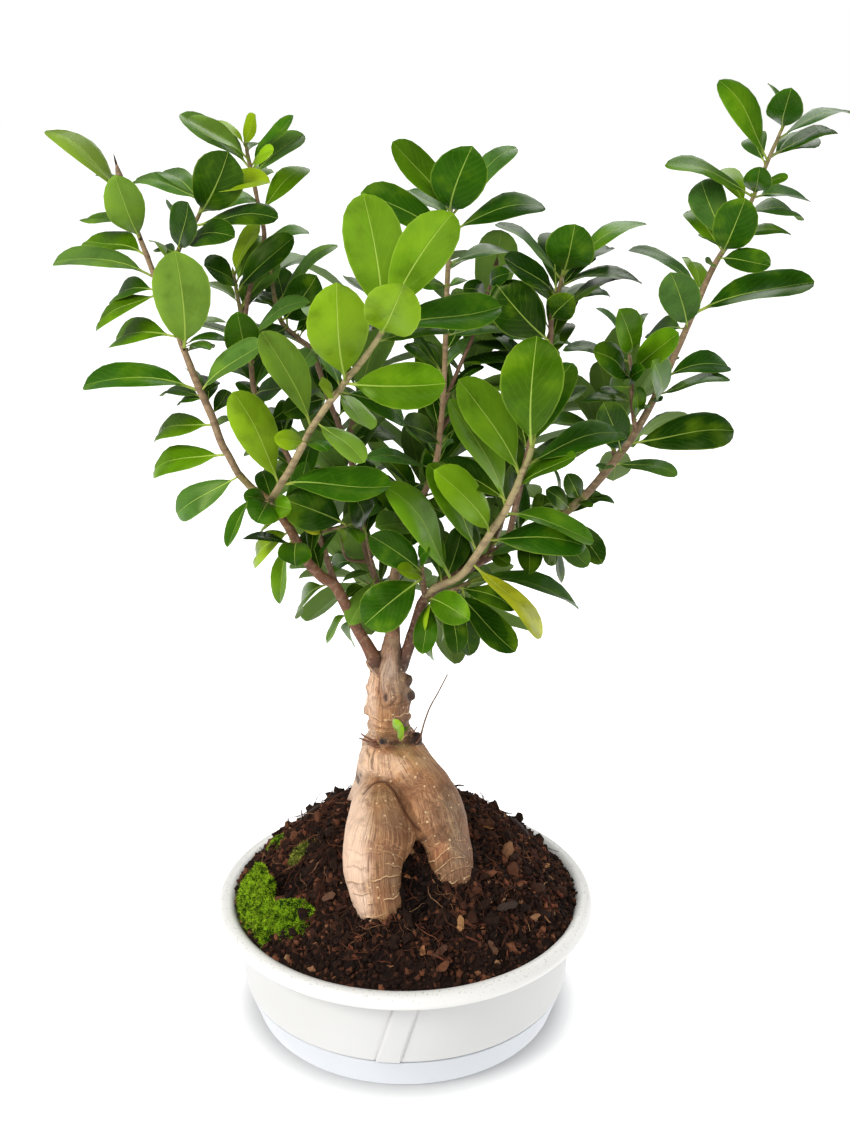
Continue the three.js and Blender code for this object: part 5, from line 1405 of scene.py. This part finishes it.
# The leaves' painted light changes from left to right over this distance on either side of the pot's axis
CROWN_REACH = 70


def shoot_mesh(name, lines, leaves, bark, tip_colour, foot_colour):
    """Twig lines and leaf points as a mesh whose attributes the leafing tree reads."""
    chance = random.Random(name)
    points, edges, rows, buds = [], [], [], []
    still = (0.0, 0.0, 0.0)
    for line in lines:
        places, total = seen(line), len(line)
        for k in range(total):
            if k:
                edges.append((len(points) - 1, len(points)))
            share = k / (total - 1)
            points.append(places[k])
            fresh = max(0.0, share - FRESH_FROM) / (1 - FRESH_FROM) * FRESH_AMOUNT if tip_colour else 0.0
            mixed = [a + (b - a) * fresh for a, b in zip(paint(bark), paint(tip_colour or bark))]
            if k == 0:
                mixed = paint(foot_colour)
            rows.append((False, line[k][3] * 0.001, still, still, 0, mixed))
        if tip_colour:
            along = Vector(places[-1] - places[-2]).normalized()
            buds.append((Vector(places[-1]) - along * 0.6, along, line[-1][3] * 2.2, chance.uniform(4, 8)))
    for base, along, normal, length, width, tone in leaves:
        spin = Matrix((along.cross(normal), along, normal)).transposed().to_euler("XYZ")
        # Painted light: the leaves on the left side of the crown, where the lamp is, are lighter and
        # yellower
        to_right = max(-1.0, min(1.0, base[0] / CROWN_REACH))
        painted_light = 1.35 - 0.3 * to_right if tone in (0, 1, 5, 8) else 1.0 + 0.22 * max(0.0, -to_right)
        shade = chance.uniform(0.86, 1.12) * painted_light
        colour = [min(1.0, c * shade) for c in paint(LEAF_TONES[tone])[:3]]
        colour[0] *= chance.uniform(0.9, 1.12) * (1.15 - 0.1 * to_right)
        points.append(base)
        rows.append((True, 0.0, tuple(spin), (width, length, width), chance.randrange(5), colour + [1.0]))
        buds.append((base, (along + normal * 0.9).normalized(), 1.7, chance.uniform(2.2, 3.4)))
    for base, along, width, length in buds:
        spin = along.to_track_quat("Y", "Z").to_euler("XYZ")
        points.append(base)
        rows.append((True, 0.0, tuple(spin), (width, length, width), 5, paint(tip_colour or bark)))
    mesh = bpy.data.meshes.new(name)
    mesh.from_pydata([tuple(0.001 * c for c in p) for p in points], edges, [])
    kinds = (("is_leaf", "BOOLEAN"), ("thickness", "FLOAT"), ("leaf_turn", "FLOAT_VECTOR"),
             ("leaf_size", "FLOAT_VECTOR"), ("leaf_kind", "INT"), ("tint", "FLOAT_COLOR"))
    for (label, kind), values in zip(kinds, zip(*rows)):
        marked(mesh, label, kind, values)
    return shown(name, mesh)


def leafed(source, name, sides, lumpiness):
    """The source's twigs and leaves as one piece."""
    return grown(source, leafing, name, {
        "Leaf Shapes": leaf_shapes, "Leaf Finish": leaf_finish, "Bark Finish": twig_finish,
        "Twig Sides": sides, "Lumpiness": lumpiness})


# Stems and twigs: rows of x and z as seen from the front, depth, and radius.
# Leaves: x and z of the base, x and z of the tip, change of depth, seen width, and number of the colour.
# Sprays: first and last share of the stem, number of leaves and, if they are short, their length.
SHOOTS = {
    "left_branch": {
        "stem": [
            (-13.5, 194, 0, 4.2), (-18, 205, -1, 3.4), (-24.5, 217, -2, 2.9), (-34, 238, -4, 2.8),
            (-41, 243.5, -5, 2.8), (-49, 253, -6, 2.6), (-57, 270, -7, 2.4), (-66, 283, -8, 2.1),
            (-74, 289.5, -6, 1.9), (-80.5, 297, -4, 1.7)],
        "leaves": [
            (-80, 296, -112, 276, 8, 14, 5), (-65, 284, -73, 271.5, -24, 18, 1),
            (-66, 284, -79, 286, -14, 9, 1), (-64, 283, -55, 279, -20, 12, 2),
            (-72, 287, -87.5, 259, -8, 5, 1), (-59, 274, -69, 269, 10, 6, 3),
            (-56, 268, -73, 251, 8, 8, 3), (-52, 262, -54, 249, -24, 17, 1),
            (-55, 265, -62.5, 229, -12, 6.5, 2), (-37, 240, -51, 225, 8, 6, 2),
            (-29, 224, -39.5, 208.5, 6, 4, 2), (-27, 222, -26, 208, 8, 4.5, 2),
            (-30, 231, -22, 239, 14, 7, 0)],
        "spray": (0.45, 0.75, 5, 30)},
    "right_branch": {
        "stem": [
            (-2.5, 194, 1, 4), (1.5, 204, 2, 3.1), (5.5, 217, 2, 2.8), (10.5, 232, 1, 2.6),
            (24, 243, 8, 2.5), (40, 253, 14, 2.4), (58, 264, 18, 2.3), (72, 272, 20, 2.2),
            (80, 277.5, 20, 2.1), (88, 285, 20, 2)],
        "leaves": [
            (88, 284, 103.5, 282.5, 8, 3, 1), (87, 284, 97, 287, 4, 3.5, 5),
            (85, 282, 93, 280, -2, 2.5, 1), (87, 284, 80, 297, -10, 10, 0), (82, 279, 70, 289, -10, 9, 0),
            (76, 275, 99, 250.5, -4, 12, 0), (70, 271, 92, 249, -16, 12, 5),
            (59, 265, 62.5, 245, -10, 12, 0), (68, 270, 71.5, 249.5, -8, 6, 0),
            (70, 271, 79, 240.5, 4, 3, 0), (44, 256, 53, 250, -10, 8, 0), (41, 254, 67, 261, -14, 7, 5),
            (30, 247, 44, 245.5, 6, 5, 0), (20, 240, 29, 270, 14, 13, 0)],
        "spray": (0.45, 0.85, 7, 34)},
    "centre_shoot": {
        "stem": [
            (-6.5, 196, 1, 4.4), (-6, 212, 2.5, 3.9), (-6, 228, 6, 3.3), (-4, 248, 10, 2.6),
            (3, 268, 14, 2.1), (10, 287, 17, 1.8), (16, 304, 18, 1.5), (18, 320, 18, 1.4),
            (19.5, 340, 17, 1.35), (20.3, 366, 12, 1.3), (21, 393, 6, 1.25), (22, 410, 2, 1.1),
            (22.5, 424, 0, 0.9)],
        "leaves": [
            (22.3, 421, -4.5, 453.5, -6, 14, 2), (22.5, 422, 32, 451.5, -18, 25, 1),
            (22.5, 420, 52, 451, 14, 9, 5), (22, 413, 66, 424.5, 8, 10, 1),
            (22, 408, -19, 431, -12, 14, 1), (22.3, 418, 3, 432, 16, 8, 5), (21.4, 398, 51, 403, 18, 4, 5),
            (21.2, 395, 32, 401, 14, 2.5, 5), (20.8, 387, 30, 391, 10, 3, 5),
            (20.8, 388, 8, 388.5, -8, 6, 1), (20.3, 365, 46.5, 368, 12, 7, 5),
            (20, 348, 33, 364, 14, 7, 5), (17, 312, 0, 322, -10, 9, 0), (16.3, 306, 4, 319, 10, 8, 5),
            (16.5, 305, 30, 317, 10, 10, 5), (19.6, 346, 3, 361, 12, 10, 0), (18, 322, 28, 330, 10, 5, 1),
            (14, 300, -18, 304.5, -4, 5, 5), (3, 268, -14, 270, -16, 10, 4), (5, 272, 3, 260, -16, 10, 0),
            (-6.8, 224, -9, 213.5, -10, 6, 3), (12, 292, -6, 281, -10, 9, 0),
            (9, 284, 21, 276, -12, 9, 0)],
        "spray": (0.28, 0.72, 13, 34)},
    "left_leader": {
        "stem": [
            (-80.5, 296.5, -4, 1.75), (-85, 306, -5, 1.85), (-88.5, 313, -5, 1.9), (-92, 325, -6, 1.9),
            (-96.3, 336, -6, 1.9), (-100, 346, -7, 1.8), (-104, 358, -8, 1.6), (-107, 367, -8, 1.45),
            (-112, 380, -8, 1.3), (-116, 393, -8, 1.3), (-119.5, 404, -8, 1.3), (-122.5, 413, -8, 1.1),
            (-126, 424, -8, 0.9), (-128.3, 434, -8, 0.8), (-129.3, 438, -8, 1.7),
            (-130.4, 443.5, -8, 0.5)],
        "leaves": [
            (-127.5, 429, -161.5, 458, 12, 9, 4), (-127.5, 430, -138.5, 438.5, 16, 4, 0),
            (-121.5, 410, -131.5, 438.5, -28, 18, 4), (-123, 414, -146, 419, 34, 7, 2),
            (-119, 402, -146.5, 409, 30, 11, 2), (-116, 392, -163, 399, 6, 8.5, 5),
            (-104, 358, -106, 405, -22, 27, 4), (-114, 386, -134, 382.5, 26, 9, 1),
            (-114, 385, -144.5, 367.5, 14, 5, 2), (-106, 364, -136.5, 362, 32, 12.5, 2),
            (-97, 338, -153.5, 340.5, 6, 11, 1), (-96.5, 335, -115, 336.5, 20, 4, 5),
            (-96, 334, -107.5, 332, 14, 3, 1), (-93, 321, -119, 316, 28, 10, 2),
            (-87, 306, -122, 298.5, 20, 12, 2), (-94.5, 330, -97.5, 346, 16, 9, 0),
            (-97, 337, -103.5, 349, 14, 3.5, 1), (-104.5, 360, -81.5, 361.5, 12, 3, 1),
            (-104, 359, -91.5, 358, -8, 1.8, 1), (-103.5, 357, -90.5, 361, 20, 4.5, 4),
            (-107, 367, -84, 371.5, 20, 3, 4), (-106.5, 366, -94, 372.5, 16, 3.5, 0),
            (-96.5, 338, -66, 361, -12, 9, 5), (-91, 320, -83, 325.5, 12, 5, 4),
            (-93, 326, -84, 338.5, 18, 8, 0), (-96.5, 337, -88, 342.5, 8, 3, 0)]},
    "right_leader": {
        "stem": [
            (88.5, 285.3, 20, 2), (98, 297, 20, 2.05), (108, 311, 19, 2), (117, 327, 18, 1.8),
            (127, 350, 17, 1.7), (136, 373, 15, 1.5), (145, 397, 14, 1.4), (155, 414, 13, 1.2),
            (161, 428, 12, 1), (168, 448, 12, 0.9), (173, 461, 12, 0.7)],
        "leaves": [
            (172.8, 459.5, 175, 476.5, -18, 16, 1), (172, 458, 164.5, 478.5, 14, 2, 2),
            (166.5, 445, 142, 480, 4, 12, 2), (170.8, 454, 203, 466, 10, 3, 5),
            (168.2, 447, 196.5, 457.5, 4, 5, 1), (166.5, 443, 160, 456, 18, 12, 5),
            (167.5, 446, 187, 455.5, 18, 10, 5), (161.8, 430, 163.5, 443, -24, 13, 1),
            (162.5, 432, 177, 437.5, -14, 3.5, 2), (161.3, 428.5, 186, 427.5, 6, 5, 5),
            (161.2, 429, 120, 443.5, 2, 5, 2), (158, 423, 145, 441, 14, 10, 3),
            (151, 408, 137, 436.5, 16, 17, 5), (149, 404, 132, 423, 24, 10, 2),
            (148.5, 403.5, 158, 429, -22, 20, 1), (149.5, 405, 137, 412, 10, 2.5, 5),
            (158.5, 421.5, 183, 419, 8, 5, 5), (153, 410, 180, 412, 6, 3.5, 1),
            (147.5, 401, 172, 397.5, -4, 11, 1), (145, 397.5, 141.5, 399, -3, 2, 5),
            (137, 375, 193, 390, -4, 12, 1), (134.5, 369, 125, 395, -16, 19, 5),
            (139.5, 384, 105, 405, 10, 3.5, 5), (140, 385, 132, 400, 12, 6, 3),
            (133.5, 368, 117, 366, 12, 8, 5), (124.5, 343.5, 155.5, 350, 4, 11, 1),
            (121, 336, 156.5, 343.5, 4, 3, 5), (118.5, 331, 115, 329, -3, 2.5, 5),
            (119.5, 333, 124.5, 333.5, -3, 2, 5), (109, 312, 160, 318.5, 4, 18, 0),
            (102.5, 302, 134, 296, -4, 6, 5), (101, 300, 97.5, 299, -6, 4, 5),
            (105.5, 308, 96, 333, -14, 16, 0), (120.5, 335.5, 119, 353, -12, 7, 5)]},
    "left_front_shoot": {
        "stem": [
            (-65.5, 283, -9, 1.9), (-60, 292, -16, 1.8), (-55, 300, -22, 1.75), (-47, 315, -34, 1.65),
            (-43, 322, -40, 1.6), (-36, 332, -48, 1.55), (-31, 338, -53, 1.5), (-26, 345, -58, 1.45),
            (-20, 352, -63, 1.4), (-15, 359, -68, 1.3), (-11, 365, -72, 1.2), (-8, 370, -75, 1)],
        "leaves": [
            (-61, 291, -82, 338, -4, 20, 7), (-44.5, 319.5, -67, 367, 6, 17, 4),
            (-27.5, 343, -31, 389.5, -20, 29, 7), (-10, 366.5, 1, 390, -34, 27, 3),
            (-9, 368.5, -18, 430.5, 10, 28, 7), (-8.5, 369.5, 23.5, 422, 4, 24, 7),
            (-9.5, 367.5, 46.5, 378.5, 14, 16, 1), (-28, 342, 20.5, 342, -8, 23, 2),
            (-13, 362, 21, 368, 20, 8, 1), (-31.5, 337.5, -15.5, 319, -18, 8, 4),
            (-34, 335, -40.5, 341.5, -12, 5, 3), (-31, 338, 0.5, 323, 16, 11, 1),
            (-42, 323, -19, 302.5, -10, 11, 4), (-27, 344, -46, 379, 22, 9, 1),
            (-30, 339.5, -41, 357, 18, 6, 5), (-48, 313.5, -62.5, 315.5, -16, 10, 3),
            (-48, 313, -36.5, 308.5, -14, 5, 1), (-60, 291.5, -6, 290.5, -18, 16, 1)]},
    "right_front_shoot": {
        "stem": [
            (11, 234, -1, 2), (17, 238.5, -7, 1.95), (24, 241.5, -13, 1.9), (30, 246, -19, 1.85),
            (36, 255, -26, 1.85), (42, 265, -33, 1.8), (47, 273, -39, 1.75), (50, 278, -43, 1.7),
            (53, 285, -47, 1.6), (56, 292, -51, 1.55), (58, 298, -54, 1.5), (61, 305, -57, 1.4),
            (62.5, 311, -60, 1.2)],
        "leaves": [
            (24, 241.5, -10, 291, -14, 14, 7), (19, 239.5, 8, 272, 10, 10, 1),
            (36.5, 256, 11.5, 302, -2, 16, 2), (42.5, 266, 15, 299, -20, 16, 3),
            (41, 262, 90.5, 259.5, -6, 17, 1), (49.5, 277, 94, 262, 6, 9, 2),
            (34, 251, 69, 210, -12, 7.5, 6), (62.3, 310, 63.5, 364.5, -10, 30, 8),
            (62, 308.5, 81, 352, 8, 17, 1), (57, 295, 26, 344, -8, 20, 7),
            (50.5, 279, 21.5, 334, 4, 15, 7), (59, 300, 108, 317, 10, 12, 1),
            (55, 289, 84.5, 306, -8, 7, 2), (52, 282, 18, 303, 14, 14, 0)]},
    "left_back_shoot": {
        "stem": [
            (-34.5, 240, 0, 1.7), (-37, 248, 3, 1.6), (-39.5, 257, 5, 1.55), (-42.5, 267, 7, 1.5),
            (-47, 283, 10, 1.5), (-54, 301, 14, 1.45), (-63, 320, 18, 1.4), (-71, 337, 20, 1.35),
            (-72.5, 352, 22, 1.3), (-74.5, 366, 24, 1.2), (-77, 380, 26, 1), (-79, 394, 26, 0.8)],
        "twigs": [[(-42.5, 267, 7, 1), (-35, 269, 4, 0.95), (-27.5, 271, 1, 0.8)]],
        "leaves": [
            (-28, 271, -59, 284, -10, 22, 0), (-39, 268, -51, 270, -6, 8, 6),
            (-31, 270, -44, 251, 8, 4, 1), (-29, 271, -22, 261.5, -4, 4.5, 1),
            (-33, 270, -30, 262, 6, 3.5, 3), (-72.5, 351, -78, 376, -18, 17, 1),
            (-72, 341, -85, 352, 14, 9, 5), (-70.5, 336, -55, 342, -6, 9, 0),
            (-71, 338, -60, 356, 12, 9, 5), (-77, 380, -91, 390, 8, 4.5, 4),
            (-78, 388, -93, 398, -8, 9, 0), (-78.5, 392, -67.5, 418, 12, 7, 3),
            (-78, 389, -66.5, 411.5, 4, 9, 4), (-77.5, 385, -50, 411, -10, 12, 0),
            (-76.5, 378, -66, 394, 10, 9, 0), (-76.5, 377, -59, 401, 16, 11, 5),
            (-74, 362, -44, 381, -10, 5, 5), (-65, 323, -55, 331, 10, 10, 0),
            (-58, 309, -60, 330, 14, 12, 0), (-50, 291, -62, 300, 12, 10, 0)],
        "spray": (0.3, 0.85, 9, 32)},
    "left_top_shoot": {
        "stem": [
            (-74.8, 371, 25, 1.2), (-72, 386, 27, 1.15), (-67, 400, 28, 1.1), (-64, 412, 28, 1.1),
            (-66, 424, 28, 1.05), (-68, 436, 28, 1), (-70, 446, 28, 0.9), (-71.2, 453.5, 28, 0.6)],
        "leaves": [
            (-71, 451, -86, 462, 8, 3, 3), (-71, 452, -66, 465.5, -10, 5.5, 3),
            (-70.5, 449, -65.5, 453, 10, 4, 5), (-70, 445, -97, 463, -6, 6, 4),
            (-69, 441, -100, 465.5, 12, 10, 5), (-69, 442, -49, 465, 10, 4.5, 1),
            (-68.5, 438, -45, 457, 14, 10, 5), (-69, 441, -58, 450, -8, 4, 3),
            (-65.5, 421, -43, 442, 12, 9, 2), (-68, 437, -61, 441, 18, 6, 4),
            (-64.5, 409, -43, 413, 8, 4, 5)]},
    "left_twig_shoot": {
        "stem": [
            (-110, 377, -6, 1.2), (-108, 392, 1, 1.15), (-104.5, 404, 5, 1.1), (-99, 413, 6, 1.05),
            (-94, 420.5, 6, 1), (-91.5, 428, 6, 0.7)],
        "leaves": [
            (-93.5, 421.5, -79, 449.5, -14, 24, 0), (-104, 405, -98.5, 427, -14, 13, 0),
            (-103.5, 406, -107, 426, 10, 7, 5), (-103, 407, -78, 411, -12, 10, 0),
            (-97, 416, -57, 419, -14, 8, 0), (-93.5, 422, -68, 428, 12, 6, 5),
            (-92, 425.5, -60.5, 435.5, -8, 6, 3), (-92.5, 425, -110, 440, 12, 9, 5),
            (-91.8, 427, -123, 436, 16, 6, 5), (-105, 403, -112.5, 404.5, 12, 4, 0),
            (-107, 397, -117, 409, 14, 2, 4)]},
    "back_left_shoot": {
        "stem": [
            (-7.5, 226, 7, 1.7), (-14, 242, 14, 1.6), (-19, 258, 20, 1.55), (-20.5, 275, 26, 1.5),
            (-23, 292, 30, 1.45), (-28, 312, 34, 1.4), (-36, 335, 37, 1.35), (-43, 357, 38, 1.3),
            (-50, 364, 38, 1.25), (-57, 371, 38, 1.2), (-60, 382, 38, 1.1), (-61.5, 396, 38, 0.9)],
        "twigs": [
            [(-17.5, 252, 18, 0.9), (-24, 252, 15, 0.8), (-29, 254, 12, 0.7), (-31, 262, 10, 0.6)],
            [(-14, 242, 14, 0.9), (-17, 256, 10, 0.8), (-18.5, 265, 8, 0.7)]],
        "leaves": [
            (-19.5, 268, -26, 287, -12, 13, 0), (-20, 272, -11, 284, 12, 9, 5),
            (-28, 312, -5, 316, 8, 9, 0), (-61.2, 393, -47, 402.5, 8, 8, 5),
            (-59.5, 380, -30, 407, 16, 3.5, 5), (-57, 372, -40, 393.5, -8, 18, 0),
            (-52, 366, -42, 375, 12, 9, 0), (-44, 358, -50, 350, -10, 10, 5),
            (-43, 357, -28, 354, -8, 10, 1), (-59, 378, -70, 381.5, 10, 3.5, 0),
            (-55, 369, -66, 364, -10, 9, 0), (-36, 335, -58, 327, -10, 13, 0),
            (-14, 243, -28, 218, -4, 12, 4), (-24, 252, -36, 250, 8, 9, 1),
            (-15, 245, -31, 240.5, 10, 3, 5), (-22, 287, -40, 300, 10, 13, 0),
            (-32, 324, -20, 336, 10, 12, 0)],
        "spray": (0.2, 0.85, 11, 34)},
    "inner_front_shoot": {
        "stem": [(10.5, 233, -1, 1.6), (9.5, 241, -5, 1.4), (9, 248, -9, 1.1), (9.5, 254, -11, 0.7)],
        "leaves": [
            (9.2, 246, -17, 265.5, -10, 17, 1), (9.4, 243, -3.5, 247, -8, 7, 3),
            (9.4, 243, -20, 218, -12, 24, 1), (9, 249, 13, 258, -6, 5, 1)]},
    "lower_right_shoot": {
        "stem": [(10.5, 231, -1, 1.5), (17, 233, -6, 1.4), (25, 237, -10, 1.3), (33, 241, -12, 1)],
        "leaves": [
            (29, 239, 88, 226.5, 6, 6, 1), (26, 238, 56, 226, -8, 10, 0), (24, 237, 56.5, 203, -12, 15, 0),
            (13, 232, 33, 220.5, -24, 16, 2), (14, 232, 10.5, 214.5, -14, 3, 3),
            (12, 232, 9, 202, -8, 12, 1), (16, 233, 14, 199.5, 2, 7, 2), (20, 235, 27, 202, -6, 12, 0),
            (29, 239, 33.5, 201, -2, 11, 0), (17, 233, 18.5, 209, 6, 3, 4), (31, 240, 42, 212, 8, 4, 2)]},
    "right_inner_shoot": {
        "stem": [
            (112.5, 319, 17, 1.2), (111, 326, 14, 1.1), (109.8, 336, 10, 1.05), (109.5, 346, 8, 1),
            (108, 354, 6, 0.9), (107, 358.5, 5, 0.6)],
        "leaves": [
            (109.5, 340, 99, 340.5, 8, 9, 5), (110, 334, 94, 338, -6, 2.5, 0),
            (111.3, 324, 111.5, 340, -8, 5, 1), (110, 333, 86, 333, 8, 3.5, 0),
            (109.5, 347, 131, 366.5, -12, 13, 2), (109.5, 347, 129, 353.5, 6, 5, 0),
            (109.6, 343, 90, 357.5, -6, 12, 1), (108.3, 352, 76, 358.5, 8, 4, 0),
            (107.3, 357, 102, 377.5, -14, 12, 2), (107.5, 356, 113.5, 374, 10, 7, 5),
            (107.5, 356, 91, 378, 8, 2, 5), (109.7, 340, 115.5, 349, -8, 4.5, 1)]},
    "centre_right_shoot": {
        "stem": [
            (51, 260, 17, 1.7), (56, 285, 20, 1.6), (62, 315, 20, 1.5), (67, 342, 18, 1.4),
            (70, 362, 16, 1.3), (70, 371, 14, 1.25), (71.5, 381, 12, 1.15), (74, 389, 10, 1.1),
            (75, 395, 9, 0.8)],
        "leaves": [
            (75, 393.5, 80, 417.5, -18, 23, 1), (75, 394, 113, 417, 10, 5, 2),
            (74.5, 391, 97, 406, 10, 9, 5), (73.5, 387.5, 112, 389.5, 8, 4, 0),
            (72, 382.5, 95.5, 384, 10, 5, 5), (70.3, 373, 80, 383.5, -16, 14, 0),
            (72, 383, 47, 401.5, -4, 10, 0), (71, 379, 46, 397.5, 6, 3, 5),
            (74.3, 391, 43, 417, 6, 2.5, 5), (70, 362, 44, 389, -8, 24, 0), (69.5, 359, 46, 367, 8, 9, 5),
            (68, 348, 27, 351.5, 10, 3.5, 0), (68.3, 350, 30, 360.5, 12, 2.5, 0),
            (66.5, 340, 38, 354, 10, 8, 0), (65, 332, 38, 341, 10, 7, 5), (69.5, 359, 79.5, 361, 10, 6, 5),
            (62.3, 317, 91.5, 321, 14, 5, 5), (59, 300, 81, 314, 6, 9, 0)],
        "spray": (0.15, 0.85, 11, 34)},
    "centre_small_shoot": {
        "stem": [
            (19, 331, 18, 1.1), (27, 350, 22, 1), (35, 369, 24, 0.95), (40, 385, 23, 0.9),
            (43, 395, 22, 0.8), (43.8, 398, 22, 1.5), (44, 401, 22, 0.4)],
        "leaves": [(40, 386, 28, 387.5, -6, 9, 0), (41.5, 389, 50.5, 394.5, -6, 8, 0)]},
    "rear_right_shoot": {
        "stem": [
            (42, 254.5, 16, 1.6), (45, 263, 34, 1.5), (49, 275, 52, 1.4), (50, 288, 68, 1.2),
            (47, 300, 82, 0.8)],
        "spray": (0.15, 1, 14)},
    "rear_centre_shoot": {
        "stem": [
            (3, 268, 16, 1.6), (6, 277, 34, 1.5), (9, 286, 52, 1.4), (11, 295, 70, 1.2),
            (11, 302, 86, 0.8)],
        "spray": (0.15, 1, 14)},
    "rear_left_shoot": {
        "stem": [
            (-21, 276, 28, 1.5), (-26, 284, 44, 1.4), (-33, 293, 60, 1.3), (-40, 301, 74, 1.1),
            (-45, 308, 86, 0.8)],
        "spray": (0.15, 1, 13)},
    "rear_high_left_shoot": {
        "stem": [
            (-27, 308, 35, 1.4), (-24, 326, 50, 1.3), (-20, 345, 62, 1.2), (-15, 364, 72, 1),
            (-10, 382, 80, 0.7)],
        "spray": (0.15, 1, 14)},
    "rear_high_right_shoot": {
        "stem": [
            (18, 318, 20, 1.3), (25, 332, 38, 1.2), (31, 346, 54, 1.1), (35, 358, 66, 1),
            (37, 368, 76, 0.7)],
        "spray": (0.15, 1, 12)},
    "rear_outer_right_shoot": {
        "stem": [(103, 304.5, 21, 1.3), (102, 310, 36, 1.2), (100, 317, 50, 1.1), (99, 325, 62, 0.8)],
        "spray": (0.15, 1, 13)},
    "rear_low_right_shoot": {
        "stem": [(8, 222, 5, 1.5), (14, 225, 22, 1.4), (22, 230, 40, 1.2), (29, 238, 56, 0.8)],
        "spray": (0.15, 1, 13)},
    "rear_low_left_shoot": {
        "stem": [(-7, 229, 8, 1.5), (-12, 234, 24, 1.4), (-18, 242, 42, 1.2), (-24, 252, 58, 0.8)],
        "spray": (0.15, 1, 13)},
    "graft_sprout": {
        "stem": [(-2.4, 154.5, -14.5, 0.9), (-1.6, 157, -16.5, 0.7)],
        "leaves": [(-2.2, 155.5, -1.2, 163.5, -2, 5.4, 3), (-2, 156, 2.6, 161, 2, 2.2, 2)]},
    "dry_stalk": {
        "stem": [
            (8.3, 155.5, -4.5, 0.5), (10, 163, -5, 0.45), (13, 172, -6, 0.4), (17.5, 181, -7, 0.35),
            (22, 190.5, -8, 0.3)]},
}
BARK_TONES = {
    "left_branch": "74492f", "right_branch": "5f3b2a", "centre_shoot": "8f7254", "left_leader": "8c7354",
    "right_leader": "836b4c", "left_front_shoot": "a5926a", "right_front_shoot": "a5926a",
    "dry_stalk": "6a503c", "graft_sprout": "9fae4a"}
TIP_TONES = {"dry_stalk": "", "left_leader": "2f1d16"}
# Painted shade: the two limbs are dark where they come out of the neck
FORK_SHADE_TONES = {"left_branch": "2a150e", "right_branch": "1c0f0a"}
for name, shoot in SHOOTS.items():
    lines = [shoot["stem"]] + shoot.get("twigs", [])
    leaves = [seen_leaf(lines, row) for row in shoot.get("leaves", [])]
    if "spray" in shoot:
        leaves += sprayed(shoot["stem"], *shoot["spray"])
    bark = BARK_TONES.get(name, "7c5d47")
    source = shoot_mesh(
        name + "_lines", lines, leaves, bark, TIP_TONES.get(name, BUD_TONE), FORK_SHADE_TONES.get(name, bark))
    piece = leafed(source, "leafy_" + name, 10, 0.0006 if name != "dry_stalk" else 0.0)
    settle(piece, "twig_bark" if name.endswith("branch") or name == "dry_stalk" else "foliage", name)


# Frayed bark
# Torn orange-brown fibres of bark that stand out at both ends of the graft's ring, where the crown was
# grafted on. Each one is a strip of the bark itself that has come loose at one end.
FRAYS = [
    [(-22.8, 157.2, -4, 0.3), (-19, 154.4, -8, 0.5), (-15, 152.6, -11, 0.5)],
    [(-23.6, 154.6, -4, 0.3), (-19.5, 152.9, -8, 0.5), (-14.5, 151.2, -12, 0.4)],
    [(-21.4, 156.4, -7, 0.25), (-17.5, 153.6, -11, 0.4), (-13.5, 153.4, -13, 0.4)],
    [(-19.5, 151, -8, 0.3), (-15, 150, -12, 0.45), (-9, 149.2, -15, 0.4), (-4, 149.8, -16, 0.3)],
    [(2.4, 156.2, -11, 0.5), (4.8, 158.8, -10, 0.35), (6.4, 161, -10, 0.25)],
    [(5.8, 151.6, -10, 0.5), (7.6, 154.2, -8, 0.45), (8.6, 158.4, -7, 0.3)],
]
source = shoot_mesh("fray_lines", FRAYS, [], "6b3a22", "", "6b3a22")
settle(leafed(source, "graft_frays", 6, 0.0004), "root_bark")
